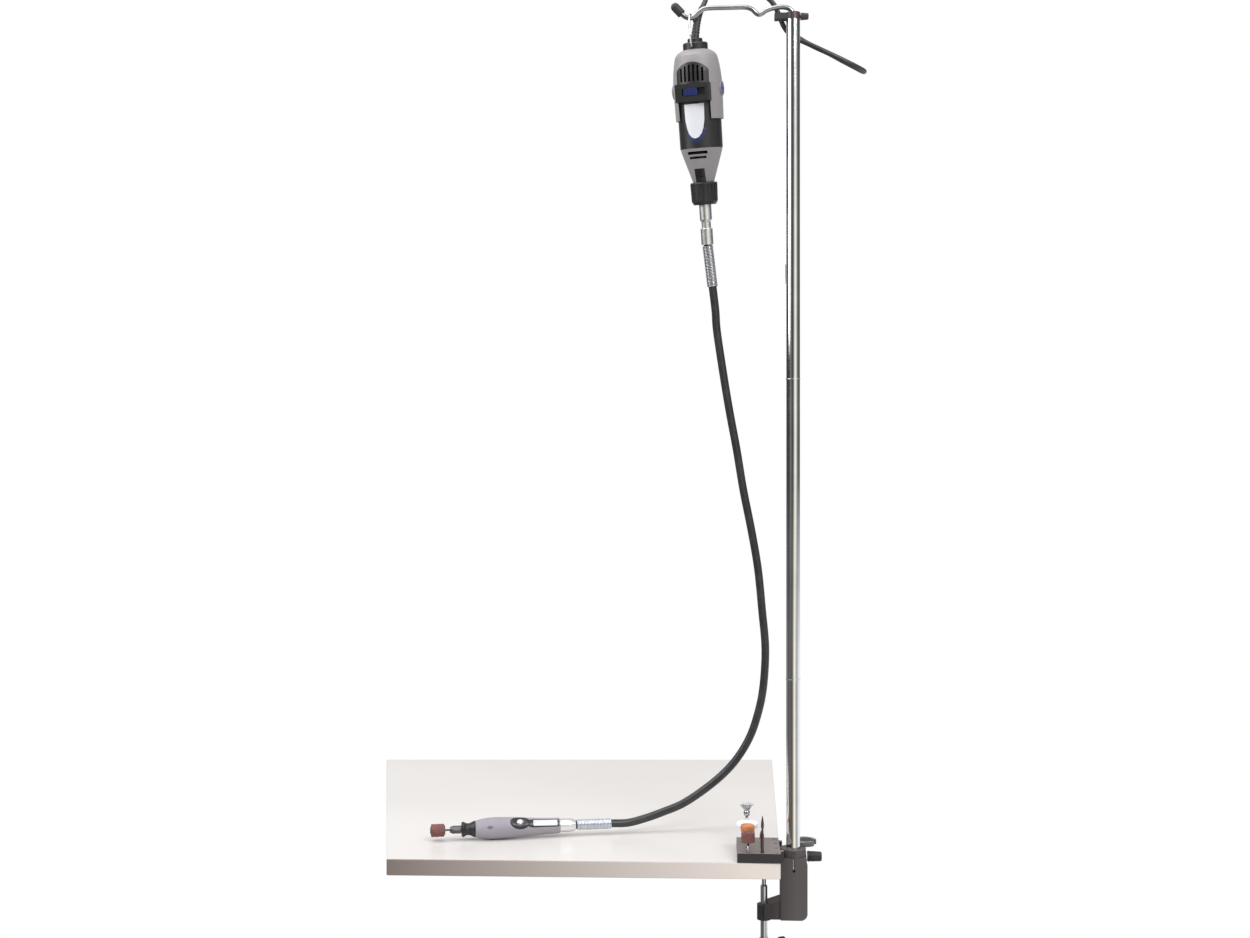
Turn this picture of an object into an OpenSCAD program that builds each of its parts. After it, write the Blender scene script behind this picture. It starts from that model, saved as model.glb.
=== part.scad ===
// Hanging rotary tool with a flex shaft and handpiece, on a clamp-on bench stand.
// Millimetres, +Z up, +Y away from the user.
// The origin is on the upper jaw's face, on the clamp screw's axis.

/* [Clamp] */
// Width of the bit tray
tray_w = 49; // [48:0.5:50]
// Depth of the bit tray
tray_l = 74; // [70:1:80]
// Thickness of the bit tray
tray_h = 10.5; // [10:0.5:12]
// Spacing of the bit holes from left to right
hole_dx = 16.25; // [15.5:0.25:16.5]
// Spacing of the bit holes from front to back
hole_dy = 20.7; // [19:0.1:22]
// Diameter of a bit hole
hole_d = 3.3; // [3.25:0.05:3.5]
// Drop of the clamp's column below the bench top
column_drop = 71; // [68:1:80]
// Thickness of the board between the jaw and the pad
board_t = 18; // [12:1:25]
// Diameter of the clamp screw
screw_d = 8; // [7:0.5:9]

/* [Mast and hanger] */
// Outer diameter of the mast's tubes
mast_d = 16; // [15.5:0.1:16.4]
// Wall of the mast's tubes
mast_wall = 1.2; // [1:0.1:1.5]
// Height of the mast's top
mast_top = 960; // [959.5:0.5:960.5]
// Height of the lower joint of the mast
mast_joint_1 = 202.5; // [180:0.5:230]
// Height of the upper joint of the mast
mast_joint_2 = 547.5; // [520:0.5:550]
// Diameter of the hanger rod
rod_d = 5.4; // [5:0.1:5.4]
// Diameter of the bail's wire
bail_d = 2.3; // [2:0.1:2.4]

/* [Motor] */
// Widest radius of the grey housing
housing_r = 28.6; // [28.5:0.1:28.7]
// Wall of the housing
housing_wall = 2.2; // [1.8:0.1:2.4]
// Radius of the black barrel at its lower end
barrel_r = 24.9; // [24.8:0.1:25]
// Diameter of the coupling nut
nut_d = 32; // [31:0.5:32.5]
// Lean of the hanging motor from upright, in degrees
motor_lean = 3.5; // [3.4:0.1:3.6]
// Turn of the motor's front from the user, in degrees
motor_yaw = 14; // [10:1:16]
// Backward swing of the hanging motor, in degrees
motor_pitch = 10; // [9.5:0.5:10.5]

/* [Flex shaft and handpiece] */
// Diameter of the flex shaft's sheath
sheath_d = 9.6; // [9.5:0.1:9.7]
// Outer diameter of the springs at the ends of the sheath
spring_d = 12.9; // [12.8:0.1:13]
// Wire of those springs
spring_wire = 1.3; // [1.2:0.05:1.3]
// Turns of the upper spring
upper_turns = 25; // [20:1:26]
// Turns of the lower spring
lower_turns = 23; // [18:1:24]
// Widest radius of the grip
grip_r = 12.9; // [12.5:0.1:12.9]
// Diameter of the sanding drum
drum_d = 15; // [13:0.5:16]

/* [Mains cord] */
// Diameter of the mains cord
cord_d = 5.8; // [5.6:0.1:6.2]
// Straight length of the hank's runs
hank_run = 100; // [98:1:105]
// Inner width of the hank between the middles of its runs
hank_width = 40; // [39:1:42]

/* [Hidden] */

$fn = 48;
gap = 0.3;          // between pieces that move past each other
fit = 0.05;         // radial clearance of a shaft in its bore
thin = 0.6;
join = 0.1;         // between two pieces of one cord that meet end to end

black = "#1d1d1f";
grey = "#8d8b90";
steel = "#c9ccd0";
blue = "#2b3fa0";

// places on the stand
mast_x = 33.4;
mast_bore_z = -45;
collar_r = 14.8;
collar_h = 8.5;
column_x0 = 18.5;
column_x1 = 49;
lock_face = 47.8;
column_y = 15;
lock_z = -1;
lock_d = 6;
arm_top = -53.5;
arm_y = 12;
boss_r = 8;
pad_top = -board_t - 0.5;
pad_h = 4;
bar_z = -101;
bar_turn = 25;
screw_neck = -34;
tray_x1 = column_x0 - 0.6;
tray_x0 = tray_x1 - tray_w;
hole_x = [for (i = [0:2]) 13.5 - i * hole_dx];
hole_y = [for (i = [-1.5:1:1.5]) i * hole_dy];
tongue_x0 = -12;
tongue_h = 5;
ring_x = 48;
ring_y = 25;
ring_r = 13.5;
ring_hole_r = 9.5;
ring_z = 6.4;
ring_h = 5.6;
ring_screw = [mast_x + 6, 10.5];

// places on the hanger, the motor and the handpiece
motor_at = [-79.2, 3.4, 937];
foot_w = -5.5;      // the bail's feet, along the motor's axis
arch_top = -23;
band_top = -47.5;
band_end = -67.5;
brush_w = -53.5;
shell_end = -87.5;
barrel_end = -119.8;
nose_end = -158.5;
nut_end = -184.6;
neck_end = -174.4;
sleeve_end = -231.1;
window_x = 19;
band_y = -30;
shaft_r = 3;
bearing_r = 9.5;
grip_at = [-181, 84, 13];
grip_yaw = 13;
spring_end_s = 45;
grip_rear_s = 64;
grip_front_s = 166;
nose_front_s = 182.5;
spindle_r = 2.5;

motor_up = [
    -sin(motor_lean), -cos(motor_lean) * sin(motor_pitch), cos(motor_lean) * cos(motor_pitch)
];
function along_motor(w) = motor_at + w * motor_up;
function along_grip(s) = grip_at - s * [cos(grip_yaw), sin(grip_yaw), 0];

// middle line of the flex shaft, from the motor's sleeve to the handpiece's ferrule
spring_foot = [-59, 55.5, 660];
spring_head = along_motor(sleeve_end);
spring_line = unit(spring_foot - spring_head);
flex_route = concat(
    [spring_head - 7 * spring_line, (spring_head + spring_foot) / 2],
    [spring_foot, spring_foot + 28 * spring_line],
    [
        [-54, 67, 610], [-47, 73, 563], [-39, 79, 515], [-30, 84, 467], [-22, 89, 419], [-12, 92, 369],
        [-4, 95, 322], [1, 97, 272], [5, 98, 224], [2, 98, 175], [-6, 98, 139], [-16, 98, 113],
        [-31, 98, 89], [-50, 100, 68], [-75, 100, 48], [-97, 99, 34], [-119, 97, 25], [-140, 93, 18]
    ],
    [along_grip(-20), along_grip(0), along_grip(22), along_grip(spring_end_s)]
);

// middle line of the mains cord, from the boot over the rod, round a side loop and down behind the mast
boot_points = curve(
    [[-79.4, 2.9, 940], [-78.4, 3.2, 951], [-76.7, 5.4, 962], [-74.2, 10.4, 973], [-71, 12.9, 981]], 2
);
boot_end = boot_points[8];
boot_line = unit(boot_end - boot_points[7]);
hank_front = 22;
hank_top = 745;
cord_route = [
    boot_end + join * boot_line, boot_end + 4 * boot_line, boot_end + 8 * boot_line,
    [-65.4, 17, 996.5], [-59.5, 19, 1005], [-49, 20, 1011.5], [-36, 17, 1013.5], [-22, 12.5, 1008.5],
    [-11, 9, 1001], [3, 10.5, 991], [11, 12, 983.5], [17.5, 13.5, 971.5], [24, 16, 957],
    [34, 17, 946.5], [52, 17, 937.5], [70, 16, 928.5], [87, 17, 920.5], [101, 20.5, 914.5],
    [111.5, 28.5, 911.5], [118.5, 41.5, 911.5], [118.5, 56, 915], [110.5, 69, 923.5], [96, 75.5, 933.5],
    [80, 74, 942], [64, 72, 949], [51, 64, 953.5], [42, 51, 954.5], [37, 37, 948],
    [35, 24, 935], [34, 16.5, 918], [34, 16.5, 890], [33, 18, 840], [31.8, 21, 790],
    [30, hank_front, hank_top]
];

// the hank hangs behind the mast, turned a little so that its plane runs straight back from the mast
hank_turns = 3.3;
hank_yaw = -3;
hank_step = 7.3;
hank_layer = 7.2;
waist_draw = 2.4;
hank_lead = 20;
plug_lead = 14;
hank_mid = hank_turns / 2;
hank_outer = hank_width + 2 * hank_step * hank_mid;
hank_at = [mast_x + 1.9, hank_front + hank_outer / 2, hank_top - hank_lead - hank_run / 2];

function unit(v) = v / norm(v);
function smooth(t) = let (u = min(max(t, 0), 1)) u * u * (3 - 2 * u);

// one point of a curve that passes through b and c, at u from 0 to 1 between them
function curve_point(a, b, c, d, u) =
    0.5 * (2 * b + (c - a) * u + (2 * a - 5 * b + 4 * c - d) * u * u + (3 * b - a - 3 * c + d) * u * u * u);

// a smooth line through the points p, with n steps from each point to the next
function curve(p, n) = let (e = len(p) - 1) concat(
    [for (i = [0:e - 1], k = [0:n - 1])
        curve_point(p[max(i - 1, 0)], p[i], p[i + 1], p[min(i + 2, e)], k / n)],
    [p[e]]
);

function directions(p) = [for (i = [0:len(p) - 1]) unit(p[min(i + 1, len(p) - 1)] - p[max(i - 1, 0)])];
function square_to(t) = unit(cross(t, abs(t[2]) < 0.8 ? [0, 0, 1] : [0, 1, 0]));

// smallest space that a wound tube leaves to its own next turns
function least_gap(p, d, turn) = min(
    [for (i = [0:len(p) - 1], j = [i + floor(turn * 0.6):1:min(len(p) - 1, i + ceil(turn * 1.6))])
        norm(p[i] - p[j])]) - d;

// a round tube along the points p, with diameters d or one diameter
module tube_along(p, d, sides) {
    t = directions(p);
    across = [
        for (i = 0, v = square_to(t[0]); i < len(p);
            i = i + 1, v = i < len(p) ? unit(v - (v * t[i]) * t[i]) : v) v
    ];
    last = (len(p) - 1) * sides;
    polyhedron(
        points = [
            for (i = [0:len(p) - 1], k = [0:sides - 1])
                let (a = 360 * k / sides, r = (is_list(d) ? d[i] : d) / 2)
                    p[i] + r * (cos(a) * across[i] + sin(a) * cross(t[i], across[i]))
        ],
        faces = concat(
            [for (k = [1:sides - 2]) [0, k, k + 1]],
            [for (k = [1:sides - 2]) [last, last + k + 1, last + k]],
            [for (i = [0:len(p) - 2], k = [0:sides - 1])
                let (a = i * sides + k, b = i * sides + (k + 1) % sides) [a, a + sides, b + sides]],
            [for (i = [0:len(p) - 2], k = [0:sides - 1])
                let (a = i * sides + k, b = i * sides + (k + 1) % sides) [a, b + sides, b]]
        )
    );
}

// the points of a close spring from a to b, with straight ends
function spring_points(a, b, turns) =
    let (
        axis = unit(b - a), side = square_to(axis), up = cross(axis, side),
        r = (spring_d - spring_wire) / 2, long = norm(b - a) - 2 * spring_wire,
        coil = [
            for (i = [0:8 * turns])
                let (f = 45 * i)
                    a + axis * (spring_wire + long * i / (8 * turns)) + r * (cos(f) * side + sin(f) * up)
        ],
        last = coil[len(coil) - 1], lead = spring_wire * unit(coil[1] - coil[0]),
        trail = spring_wire * unit(last - coil[len(coil) - 2])
    ) concat([coil[0] - lead], coil, [last + trail]);

// one point of the hank after t turns: down the front run, round, up the back run and round again
function hank_point(t) =
    let (
        f = t - floor(t), w = hank_width + 2 * hank_step * abs(t - hank_mid), h = hank_run / 2,
        x = hank_layer * (smooth((t - hank_mid) / 0.3 + 0.5) - 0.5),
        z = f < 0.3 ? h - hank_run * f / 0.3
            : f < 0.5 ? -h - w / 2 * sin(900 * (f - 0.3))
            : f < 0.8 ? -h + hank_run * (f - 0.5) / 0.3
            : h + w / 2 * sin(900 * (f - 0.8)),
        waist = waist_draw * pow(max(cos(90 * z / h), 0), 2) * (abs(z) < h ? 1 : 0),
        y = f < 0.3 ? waist - w / 2
            : f < 0.5 ? -w / 2 * cos(900 * (f - 0.3))
            : f < 0.8 ? w / 2 - waist
            : w / 2 * cos(900 * (f - 0.8))
    ) [x, y, z];

function hank_place(p) = hank_at + [
    p[0] * cos(hank_yaw) - p[1] * sin(hank_yaw),
    p[0] * sin(hank_yaw) + p[1] * cos(hank_yaw),
    p[2]
];

hank_points = [for (i = [0:round(hank_turns * 24)]) hank_place(hank_point(min(i / 24, hank_turns)))];
hank_start = hank_points[0];
hank_end = hank_points[len(hank_points) - 1];
upper_points = spring_points(spring_head, spring_foot, upper_turns);
lower_points = spring_points(along_grip(0), along_grip(spring_end_s), lower_turns);
cord_points = curve(cord_route, 2);
flex_points = curve(flex_route, 2);
flex_inner = concat(
    [flex_points[0] + unit(flex_points[0] - flex_points[1])],
    [for (i = [1:len(flex_points) - 2]) flex_points[i]],
    [along_grip(spring_end_s + 1)]
);
function length_of(p) = len(p) < 2 ? 0 : [for (i = 0, s = 0; i < len(p);
    i = i + 1, s = i < len(p) ? s + norm(p[i] - p[i - 1]) : s) s][len(p) - 1];

echo(hank_gap = least_gap(hank_points, cord_d, 24));
echo(upper_spring_gap = least_gap(upper_points, spring_wire, 8));
echo(lower_spring_gap = least_gap(lower_points, spring_wire, 8));
echo(cord_free = length_of(cord_points), cord_hank = length_of(hank_points), sheath = length_of(flex_points));

module on_motor() {
    translate(motor_at) rotate([motor_pitch, 0, 0]) rotate([0, -motor_lean, 0]) rotate([0, 0, -motor_yaw])
        children();
}

module on_grip() {
    translate(grip_at) rotate([0, 0, 180 + grip_yaw]) rotate([0, 90, 0]) children();
}

module at_hole(column, row) {
    translate([hole_x[column], hole_y[row], 0]) children();
}

// a turned piece from pairs of radius and height
module turned(p) {
    rotate_extrude($fn = 64) polygon(p);
}

// a cylinder that lies along X or along Y
module rod_x(x0, x1, r) {
    translate([x0, 0, 0]) rotate([0, 90, 0]) cylinder(h = x1 - x0, r = r);
}

module rod_y(y0, y1, r) {
    translate([0, y0, 0]) rotate([-90, 0, 0]) cylinder(h = y1 - y0, r = r);
}

// a box from its low corner to its high corner
module block(a, b) {
    translate(a) cube(b - a);
}

// ---- clamp ----

module clamp_frame() {
    color(black) difference() {
        union() {
            difference() {
                block([column_x0, -column_y, -column_drop], [column_x1, column_y, 0]);
                translate([column_x1 - 8, 0, -column_drop + 8]) difference() {
                    block([0, -20, -9], [9, 20, 0]);
                    rod_y(-21, 21, 8);
                }
            }
            translate([mast_x, 0, -1]) cylinder(h = collar_h + 1, r = collar_r);
            block([tongue_x0, -arm_y, 0], [column_x0 + 1, arm_y, tongue_h]);
            translate([0, arm_y, 0]) rotate([90, 0, 0]) linear_extrude(2 * arm_y)
                polygon([
                    [0, -column_drop], [column_x0 + 1, -column_drop],
                    [column_x0 + 1, arm_top + 5], [0, arm_top - 2]
                ]);
            translate([0, 0, -column_drop - 3]) cylinder(h = column_drop + arm_top, r = boss_r);
        }
        translate([mast_x, 0, mast_bore_z]) cylinder(h = 60, r = mast_d / 2 + fit);
        translate([0, 0, -column_drop - 5]) cylinder(h = 40, r = screw_d / 2 + fit);
        translate([0, 0, lock_z]) rod_x(mast_x + 4, column_x1 + 1, lock_d / 2 + fit);
        block([lock_face, -20, lock_z - 6.5], [column_x1 + 1, 20, collar_h + 1]);
        block([mast_x - 0.7, -column_y - 1, -14], [mast_x + 0.7, -7, -0.8]);
        translate([mast_x, 0, -14.5]) rod_y(-column_y - 1, -7, 1.8);
        translate([mast_x, 0, 3.8]) rod_y(-column_y - 1, -10, 1.6);
        translate([ring_screw[0], ring_screw[1], 2]) cylinder(h = 10, r = 1.1);
        for (x = [-8, 5]) translate([x, 0, -1]) {
            cylinder(h = 7, r = 2.1);
            cylinder(h = 3.4, r = 4);
        }
    }
}

module bit_tray() {
    color(black) difference() {
        union() {
            block([tray_x0, -tray_l / 2, 0], [tray_x1, tray_l / 2, tray_h]);
            for (y = [-1, 1]) translate([tray_x1, y * 22, 0]) cylinder(h = tray_h, r = 4);
        }
        block([tongue_x0 - 0.2, -arm_y - 0.2, -1], [column_x0 + 1, arm_y + 0.2, tongue_h + 0.1]);
        for (x = hole_x, y = hole_y) {
            translate([x, y, abs(y) < arm_y ? tongue_h + 1.5 : 1.5]) cylinder(h = 20, r = hole_d / 2);
            translate([x, y, tray_h - 0.8]) cylinder(h = 0.9, r1 = hole_d / 2, r2 = hole_d / 2 + 0.9);
        }
        for (x = [-8, 5]) translate([x, 0, 0]) cylinder(h = 9, r = 1.7);
    }
}

module tray_screws() {
    color(steel) for (x = [-8, 5]) translate([x, 0, 0]) {
        translate([0, 0, 0.4]) cylinder(h = 1.9, r = 3.8);
        cylinder(h = 8.6, r = 1.65);
    }
}

module collar_screws() {
    color(steel) {
        translate([mast_x, 0, 3.8]) {
            rod_y(-column_y - 1.2, -11, 1.5);
            rod_y(-column_y - 1.4, -column_y, 2.6);
        }
        translate([ring_screw[0], ring_screw[1], 3]) {
            cylinder(h = 10.6, r = 1.05);
            translate([0, 0, 9.15]) cylinder(h = 1.8, r = 2.4);
        }
    }
}

module tool_ring() {
    color(black) difference() {
        union() {
            translate([ring_x, ring_y, ring_z]) cylinder(h = ring_h, r = ring_r);
            block([mast_x + 4, 8.6, collar_h], [ring_x, 15, ring_z + ring_h]);
        }
        translate([ring_x, ring_y, 0]) cylinder(h = 19, r = ring_hole_r);
        translate([ring_x, ring_y, 0]) rotate([0, 0, -20]) block([5, -4.5, 0], [20, 4.5, 19]);
        translate([ring_screw[0], ring_screw[1], 0]) cylinder(h = 19, r = 1.15);
    }
}

module clamp_pad() {
    color(black) difference() {
        translate([0, 0, pad_top - pad_h])
            turned([[0, 0], [11, 0], [11, pad_h - 1], [10, pad_h], [0, pad_h]]);
        translate([0, 0, pad_top - pad_h - 1]) cylinder(h = 3.4, r = 3);
    }
}

module clamp_screw() {
    color(steel) {
        translate([0, 0, pad_top - pad_h - 0.1]) cylinder(h = 2.4, r = 2.95);
        translate([0, 0, screw_neck]) cylinder(h = pad_top - pad_h - screw_neck - 0.1, r = 2.4);
        translate([0, 0, screw_neck - 1.5]) cylinder(h = 1.5, r1 = screw_d / 2, r2 = 2.4);
        translate([0, 0, bar_z + 5.4]) cylinder(h = screw_neck - bar_z - 6.9, r = screw_d / 2);
        difference() {
            translate([0, 0, bar_z]) turned([[0, -7], [5, -7], [6, -6], [6, 4.5], [5, 5.5], [0, 5.5]]);
            translate([0, 0, bar_z]) rotate([0, 0, bar_turn]) rod_x(-9, 9, 2.6);
        }
    }
}

module screw_bar() {
    color(steel) translate([0, 0, bar_z]) rotate([0, 0, bar_turn]) rod_x(-25, 25, 2.5);
}

module bar_caps() {
    color(black) translate([0, 0, bar_z]) rotate([0, 0, bar_turn]) for (side = [0, 180])
        rotate([0, 0, side]) difference() {
            translate([19, 0, 0]) rotate([0, 90, 0])
                turned([[0, 0], [3.4, 0], [4, 1], [4, 6.5], [3, 8], [0, 8]]);
            rod_x(15, 25, 2.5 + fit);
        }
}

module lock_washer() {
    color("#e8e8ea") translate([0, 0, lock_z]) difference() {
        rod_x(lock_face + 0.2, lock_face + 1.4, 5.6);
        rod_x(lock_face - 1, lock_face + 3, lock_d / 2 + 0.1);
    }
}

module lock_knob() {
    color(black) translate([0, 0, lock_z]) {
        rod_x(mast_x + mast_d / 2 + gap, lock_face + 3, lock_d / 2);
        difference() {
            translate([lock_face + 1.7, 0, 0]) rotate([0, 90, 0]) turned([
                [0, 0], [5.4, 0], [6.1, 0.8], [6.1, 2.6], [5.4, 3.2], [5.9, 4],
                [5.4, 15.4], [4.6, 16.4], [0, 16.4]
            ]);
            for (a = [0:30:330]) rotate([a, 0, 0]) translate([0, 0, 6.2])
                rod_x(lock_face + 6.5, lock_face + 20.5, 0.9, $fn = 16);
        }
    }
}

// ---- mast and hanger ----

module mast_tube(z0, z1) {
    color(steel) translate([mast_x, 0, z0]) difference() {
        cylinder(h = z1 - z0, r = mast_d / 2);
        translate([0, 0, -1]) cylinder(h = z1 - z0 + 2, r = mast_d / 2 - mast_wall);
    }
}

module mast_lower() { mast_tube(mast_bore_z + 5, mast_joint_1 - thin); }
module mast_middle() { mast_tube(mast_joint_1 + thin, mast_joint_2 - thin); }
module mast_upper() { mast_tube(mast_joint_2 + thin, mast_top); }

module mast_sleeves() {
    color("#f2f2f4") for (z = [mast_joint_1, mast_joint_2]) translate([mast_x, 0, z]) difference() {
        union() {
            translate([0, 0, -thin]) cylinder(h = 2 * thin, r = mast_d / 2 + 0.35);
            translate([0, 0, -24]) cylinder(h = 48, r = mast_d / 2 - mast_wall);
        }
        translate([0, 0, -25]) cylinder(h = 50, r = mast_d / 2 - mast_wall - 1.4);
    }
}

module hub() {
    color(black) difference() {
        union() {
            translate([mast_x, 0, mast_top]) cylinder(h = 8.5, r = mast_d / 2);
            translate([mast_x, 0, mast_top - 27]) cylinder(h = 28, r = mast_d / 2 - mast_wall);
            block([12, -5.5, mast_top + 0.8], [mast_x, 5.5, mast_top + 7.6]);
            translate([12, 0, mast_top + 4]) rod_x(0, 9, 4.1);
        }
        translate([mast_x, 0, mast_top - 30]) cylinder(h = 45, r = rod_d / 2 + fit);
        translate([mast_x, 0, mast_top + 4]) cylinder(h = 5, r = 3.6);
        translate([0, 0, knob_z]) rod_x(mast_x + 2, mast_x + 10, 1.5 + fit);
    }
}

module hub_knob() {
    color("#2a1f1d") translate([0, 0, knob_z]) {
        rod_x(mast_x + 4.2, mast_x + 9, 1.5);
        difference() {
            translate([mast_x + mast_d / 2 + 0.4, 0, 0]) rotate([0, 90, 0])
                turned([[0, 0], [3.8, 0], [4.2, 0.6], [3.7, 8.4], [3, 9.2], [0, 9.2]]);
            for (a = [0:45:315]) rotate([a, 0, 0]) translate([0, 0, 4.1])
                rod_x(mast_x + 10, mast_x + 19, 0.6, $fn = 16);
        }
    }
}

knob_z = mast_top + 4.2;
rod_tip_a = [-94.5, 0, 969.4];
rod_tip_b = [-104, 0, 979.5];
rod_route = [
    (rod_tip_a + 3 * rod_tip_b) / 4, rod_tip_a, [-90, 0, 966], [-85, 0, 964.7], [-80, 0, 966.6],
    [-75, 0, 971.5], [-69, 0, 975], [-60, 0, 976], [-41, 0, 976], [-22, 0, 976], [-14, 0, 973.6],
    [-9, 0, 969], [-5.7, 0, 967.4], [-2.4, 0, 968.4], [1.2, 0, 971], [6.9, 0, 973.4], [13.8, 0, 975],
    [20.7, 0, 975.4], [27, 0, 974.4], [31.2, 0, 971.6], [mast_x - 0.2, 0, 967.5], [mast_x, 0, 963],
    [mast_x, 0, mast_top - 27]
];

module hanger_rod() {
    color(steel) tube_along(curve(rod_route, 2), rod_d, 12);
}

module along(a, b) {
    d = b - a;
    translate(a) rotate([0, acos(d[2] / norm(d)), atan2(d[1], d[0])]) children();
}

module rod_tip() {
    color(black) along(rod_tip_a, rod_tip_b) difference() {
        rotate_extrude($fn = 48) union() {
            polygon([[0, 0], [4.6, 0], [5.1, 0.6], [5.1, 11], [0, 11]]);
            intersection() {
                translate([0, 11]) circle(r = 5.1);
                square([6, 20]);
            }
        }
        translate([0, 0, -1]) cylinder(h = 12, r = rod_d / 2 + fit);
    }
}

// the bail's wire in the motor's front-to-back plane, with its pins in the end cap
bail_side = [
    [0, -13, 0], [0, -15.6, 0], [-0.3, -17.9, 1.8], [-0.9, -18.2, 9], [-2.3, -17, 19], [-4.2, -11.5, 29.3],
    [-5.8, -5, 35.8]
];
bail_route = concat(
    bail_side,
    [[-6.4, 0, 37.7]],
    [for (i = [6:-1:0]) [bail_side[i][0], -bail_side[i][1], bail_side[i][2]]]
);

module at_feet() {
    translate(along_motor(foot_w)) rotate([motor_pitch, 0, 0]) rotate([0, 0, -motor_yaw]) children();
}

module bail() {
    color(steel) at_feet() tube_along(curve(bail_route, 3), bail_d, 8);
}

// ---- motor ----

housing_line = [
    [14.6, -8], [18, -9.4], [21.8, -11.8], [24.2, -15.2], [25.3, -19], [26.4, -25], [27.7, -34],
    [housing_r, -46], [housing_r - 0.2, -58], [housing_r - 0.4, -70], [housing_r - 0.8, shell_end]
];

arch_r = 24;

// the same outline drawn in by t, closed down the inside
function shell_outline(p, t, top, end) = concat(
    [for (q = p) q],
    [for (i = [len(p) - 1:-1:0])
        [p[i][0] - t, i == 0 ? top : i == len(p) - 1 ? end : p[i][1] - t * (1 - i / len(p))]]
);

// the arched opening in the housing's front, of half width x, from w0 at its top down to w1
module window(x, w0, w1) {
    translate([0, -8, 0]) rotate([90, 0, 0]) linear_extrude(30) intersection() {
        translate([-x, w1]) square([2 * x, w0 - w1]);
        translate([0, w0 - arch_r]) union() {
            circle(r = arch_r);
            translate([-arch_r, w1 - w0]) square([2 * arch_r, w0 - w1]);
        }
    }
}

module end_cap() {
    color(black) on_motor() difference() {
        turned([[0, -8], [14.4, -8], [14.4, -1.2], [13.4, 0], [8.7, 0], [8.7, 4], [8.1, 4.8], [0, 4.8]]);
        translate([0, 0, -9]) cylinder(h = 15, r = 5.2);
        translate([0, 0, foot_w]) for (y = [-15, 12]) rod_y(y, y + 3, bail_d / 2 + 0.35);
    }
}

module cord_boot() {
    color(black) tube_along(boot_points, [for (i = [0:8]) 8.4 - 0.1 * i], 12);
}

module housing_shell() {
    color(grey) on_motor() difference() {
        union() {
            turned(shell_outline(housing_line, housing_wall, -8, shell_end));
            for (a = [0, 180]) rotate([0, 0, a]) difference() {
                translate([0, 0, brush_w]) rod_x(24, 29.3, 8.2);
                translate([0, 0, -80]) cylinder(h = 50, r = 25.6);
            }
        }
        window(window_x, arch_top, shell_end - 1);
        translate([0, 0, brush_w]) {
            rod_x(-40, 40, 5);
            for (x = [-33, 28]) rod_x(x, x + 5, 7);
        }
    }
}

module grille() {
    color(black) on_motor() intersection() {
        turned([[23, -19], [24.6, -19], [26.4, -25], [27.9, -34], [28.9, -47.3], [23, -47.3]]);
        difference() {
            window(window_x - 0.2, arch_top - 0.2, -47.3);
            for (x = [-12.5:5:12.5]) block([x - 1.2, -40, -45], [x + 1.2, 0, -26 - x * x / 40]);
        }
    }
}

module switch_plate() {
    color(black) on_motor() difference() {
        union() {
            difference() {
                block([-20.5, band_y, band_end], [20.5, -15, band_top]);
                translate([0, 0, -80]) cylinder(h = 50, r = housing_r + 0.2);
            }
            intersection() {
                block([-window_x + 0.2, -29, band_end], [window_x - 0.2, -10, band_top]);
                turned([
                    [23, band_end], [housing_r + 0.3, band_end], [housing_r + 0.3, band_top], [23, band_top]
                ]);
            }
        }
        for (x = [-1, 1]) translate([20.5 * x, band_y, -60]) rotate([0, 0, 45])
            cube([3, 3, 50], center = true);
        block([-11.5, band_y - 1, -60.6], [15.5, -26.4, -52.6]);
    }
}

module speed_slider() {
    color(blue) on_motor() difference() {
        block([-9.6, band_y - 1.1, -60.3], [6.4, -26.7, -52.9]);
        for (x = [-8:1.8:4.6]) block([x - 0.4, band_y - 2, -59.6], [x + 0.4, band_y - 0.5, -53.6]);
    }
}

// the barrel's wall, from radius r0 at the band to barrel_r at the lower end, grown by g
function barrel_line(g) = [[25.2 + g, band_end], [barrel_r + g, barrel_end]];

module motor_barrel() {
    color(black) on_motor() intersection() {
        turned(concat([[22.6, band_end]], barrel_line(0), [[22.6, barrel_end]]));
        union() {
            block([-40, -40, barrel_end - 1], [40, 40, shell_end]);
            block([-window_x + 0.2, -40, shell_end - 1], [window_x - 0.2, -8, band_end]);
        }
    }
}

module label_plate() {
    color("white") on_motor() intersection() {
        turned(concat(barrel_line(0.05), [[barrel_r + 0.55, barrel_end], [25.75, band_end]]));
        translate([0, -15, 0]) rotate([90, 0, 0]) linear_extrude(20) polygon([
            [-11.8, -70], [11.8, -70], [11.2, -88], [9.6, -97.5], [7.4, -103.6], [4, -107.6], [0, -109],
            [-4, -107.6], [-7.4, -103.6], [-9.6, -97.5], [-11.2, -88]
        ]);
    }
}

module brush_caps() {
    color(blue) on_motor() for (a = [0, 180]) rotate([0, 0, a]) translate([0, 0, brush_w]) difference() {
        union() {
            rod_x(22, 28.1, 4.9);
            rod_x(28.1, 29.5, 6.8);
        }
        block([28.7, -4.5, -0.7], [31, 4.5, 0.7]);
    }
}

module carbon_brushes() {
    color("#3c3c3e") on_motor() for (a = [0, 180]) rotate([0, 0, a])
        block([8.1, -2.5, brush_w - 2.5], [21.8, 2.5, brush_w + 2.5]);
}

module stator() {
    color("#6b5f56") on_motor() difference() {
        translate([0, 0, -108]) cylinder(h = 38, r = 21.6);
        translate([0, 0, -109]) cylinder(h = 40, r = 13.2);
        for (a = [45:90:315]) rotate([0, 0, a]) block([12, -3, -109], [17.5, 3, -68]);
    }
}

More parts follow.
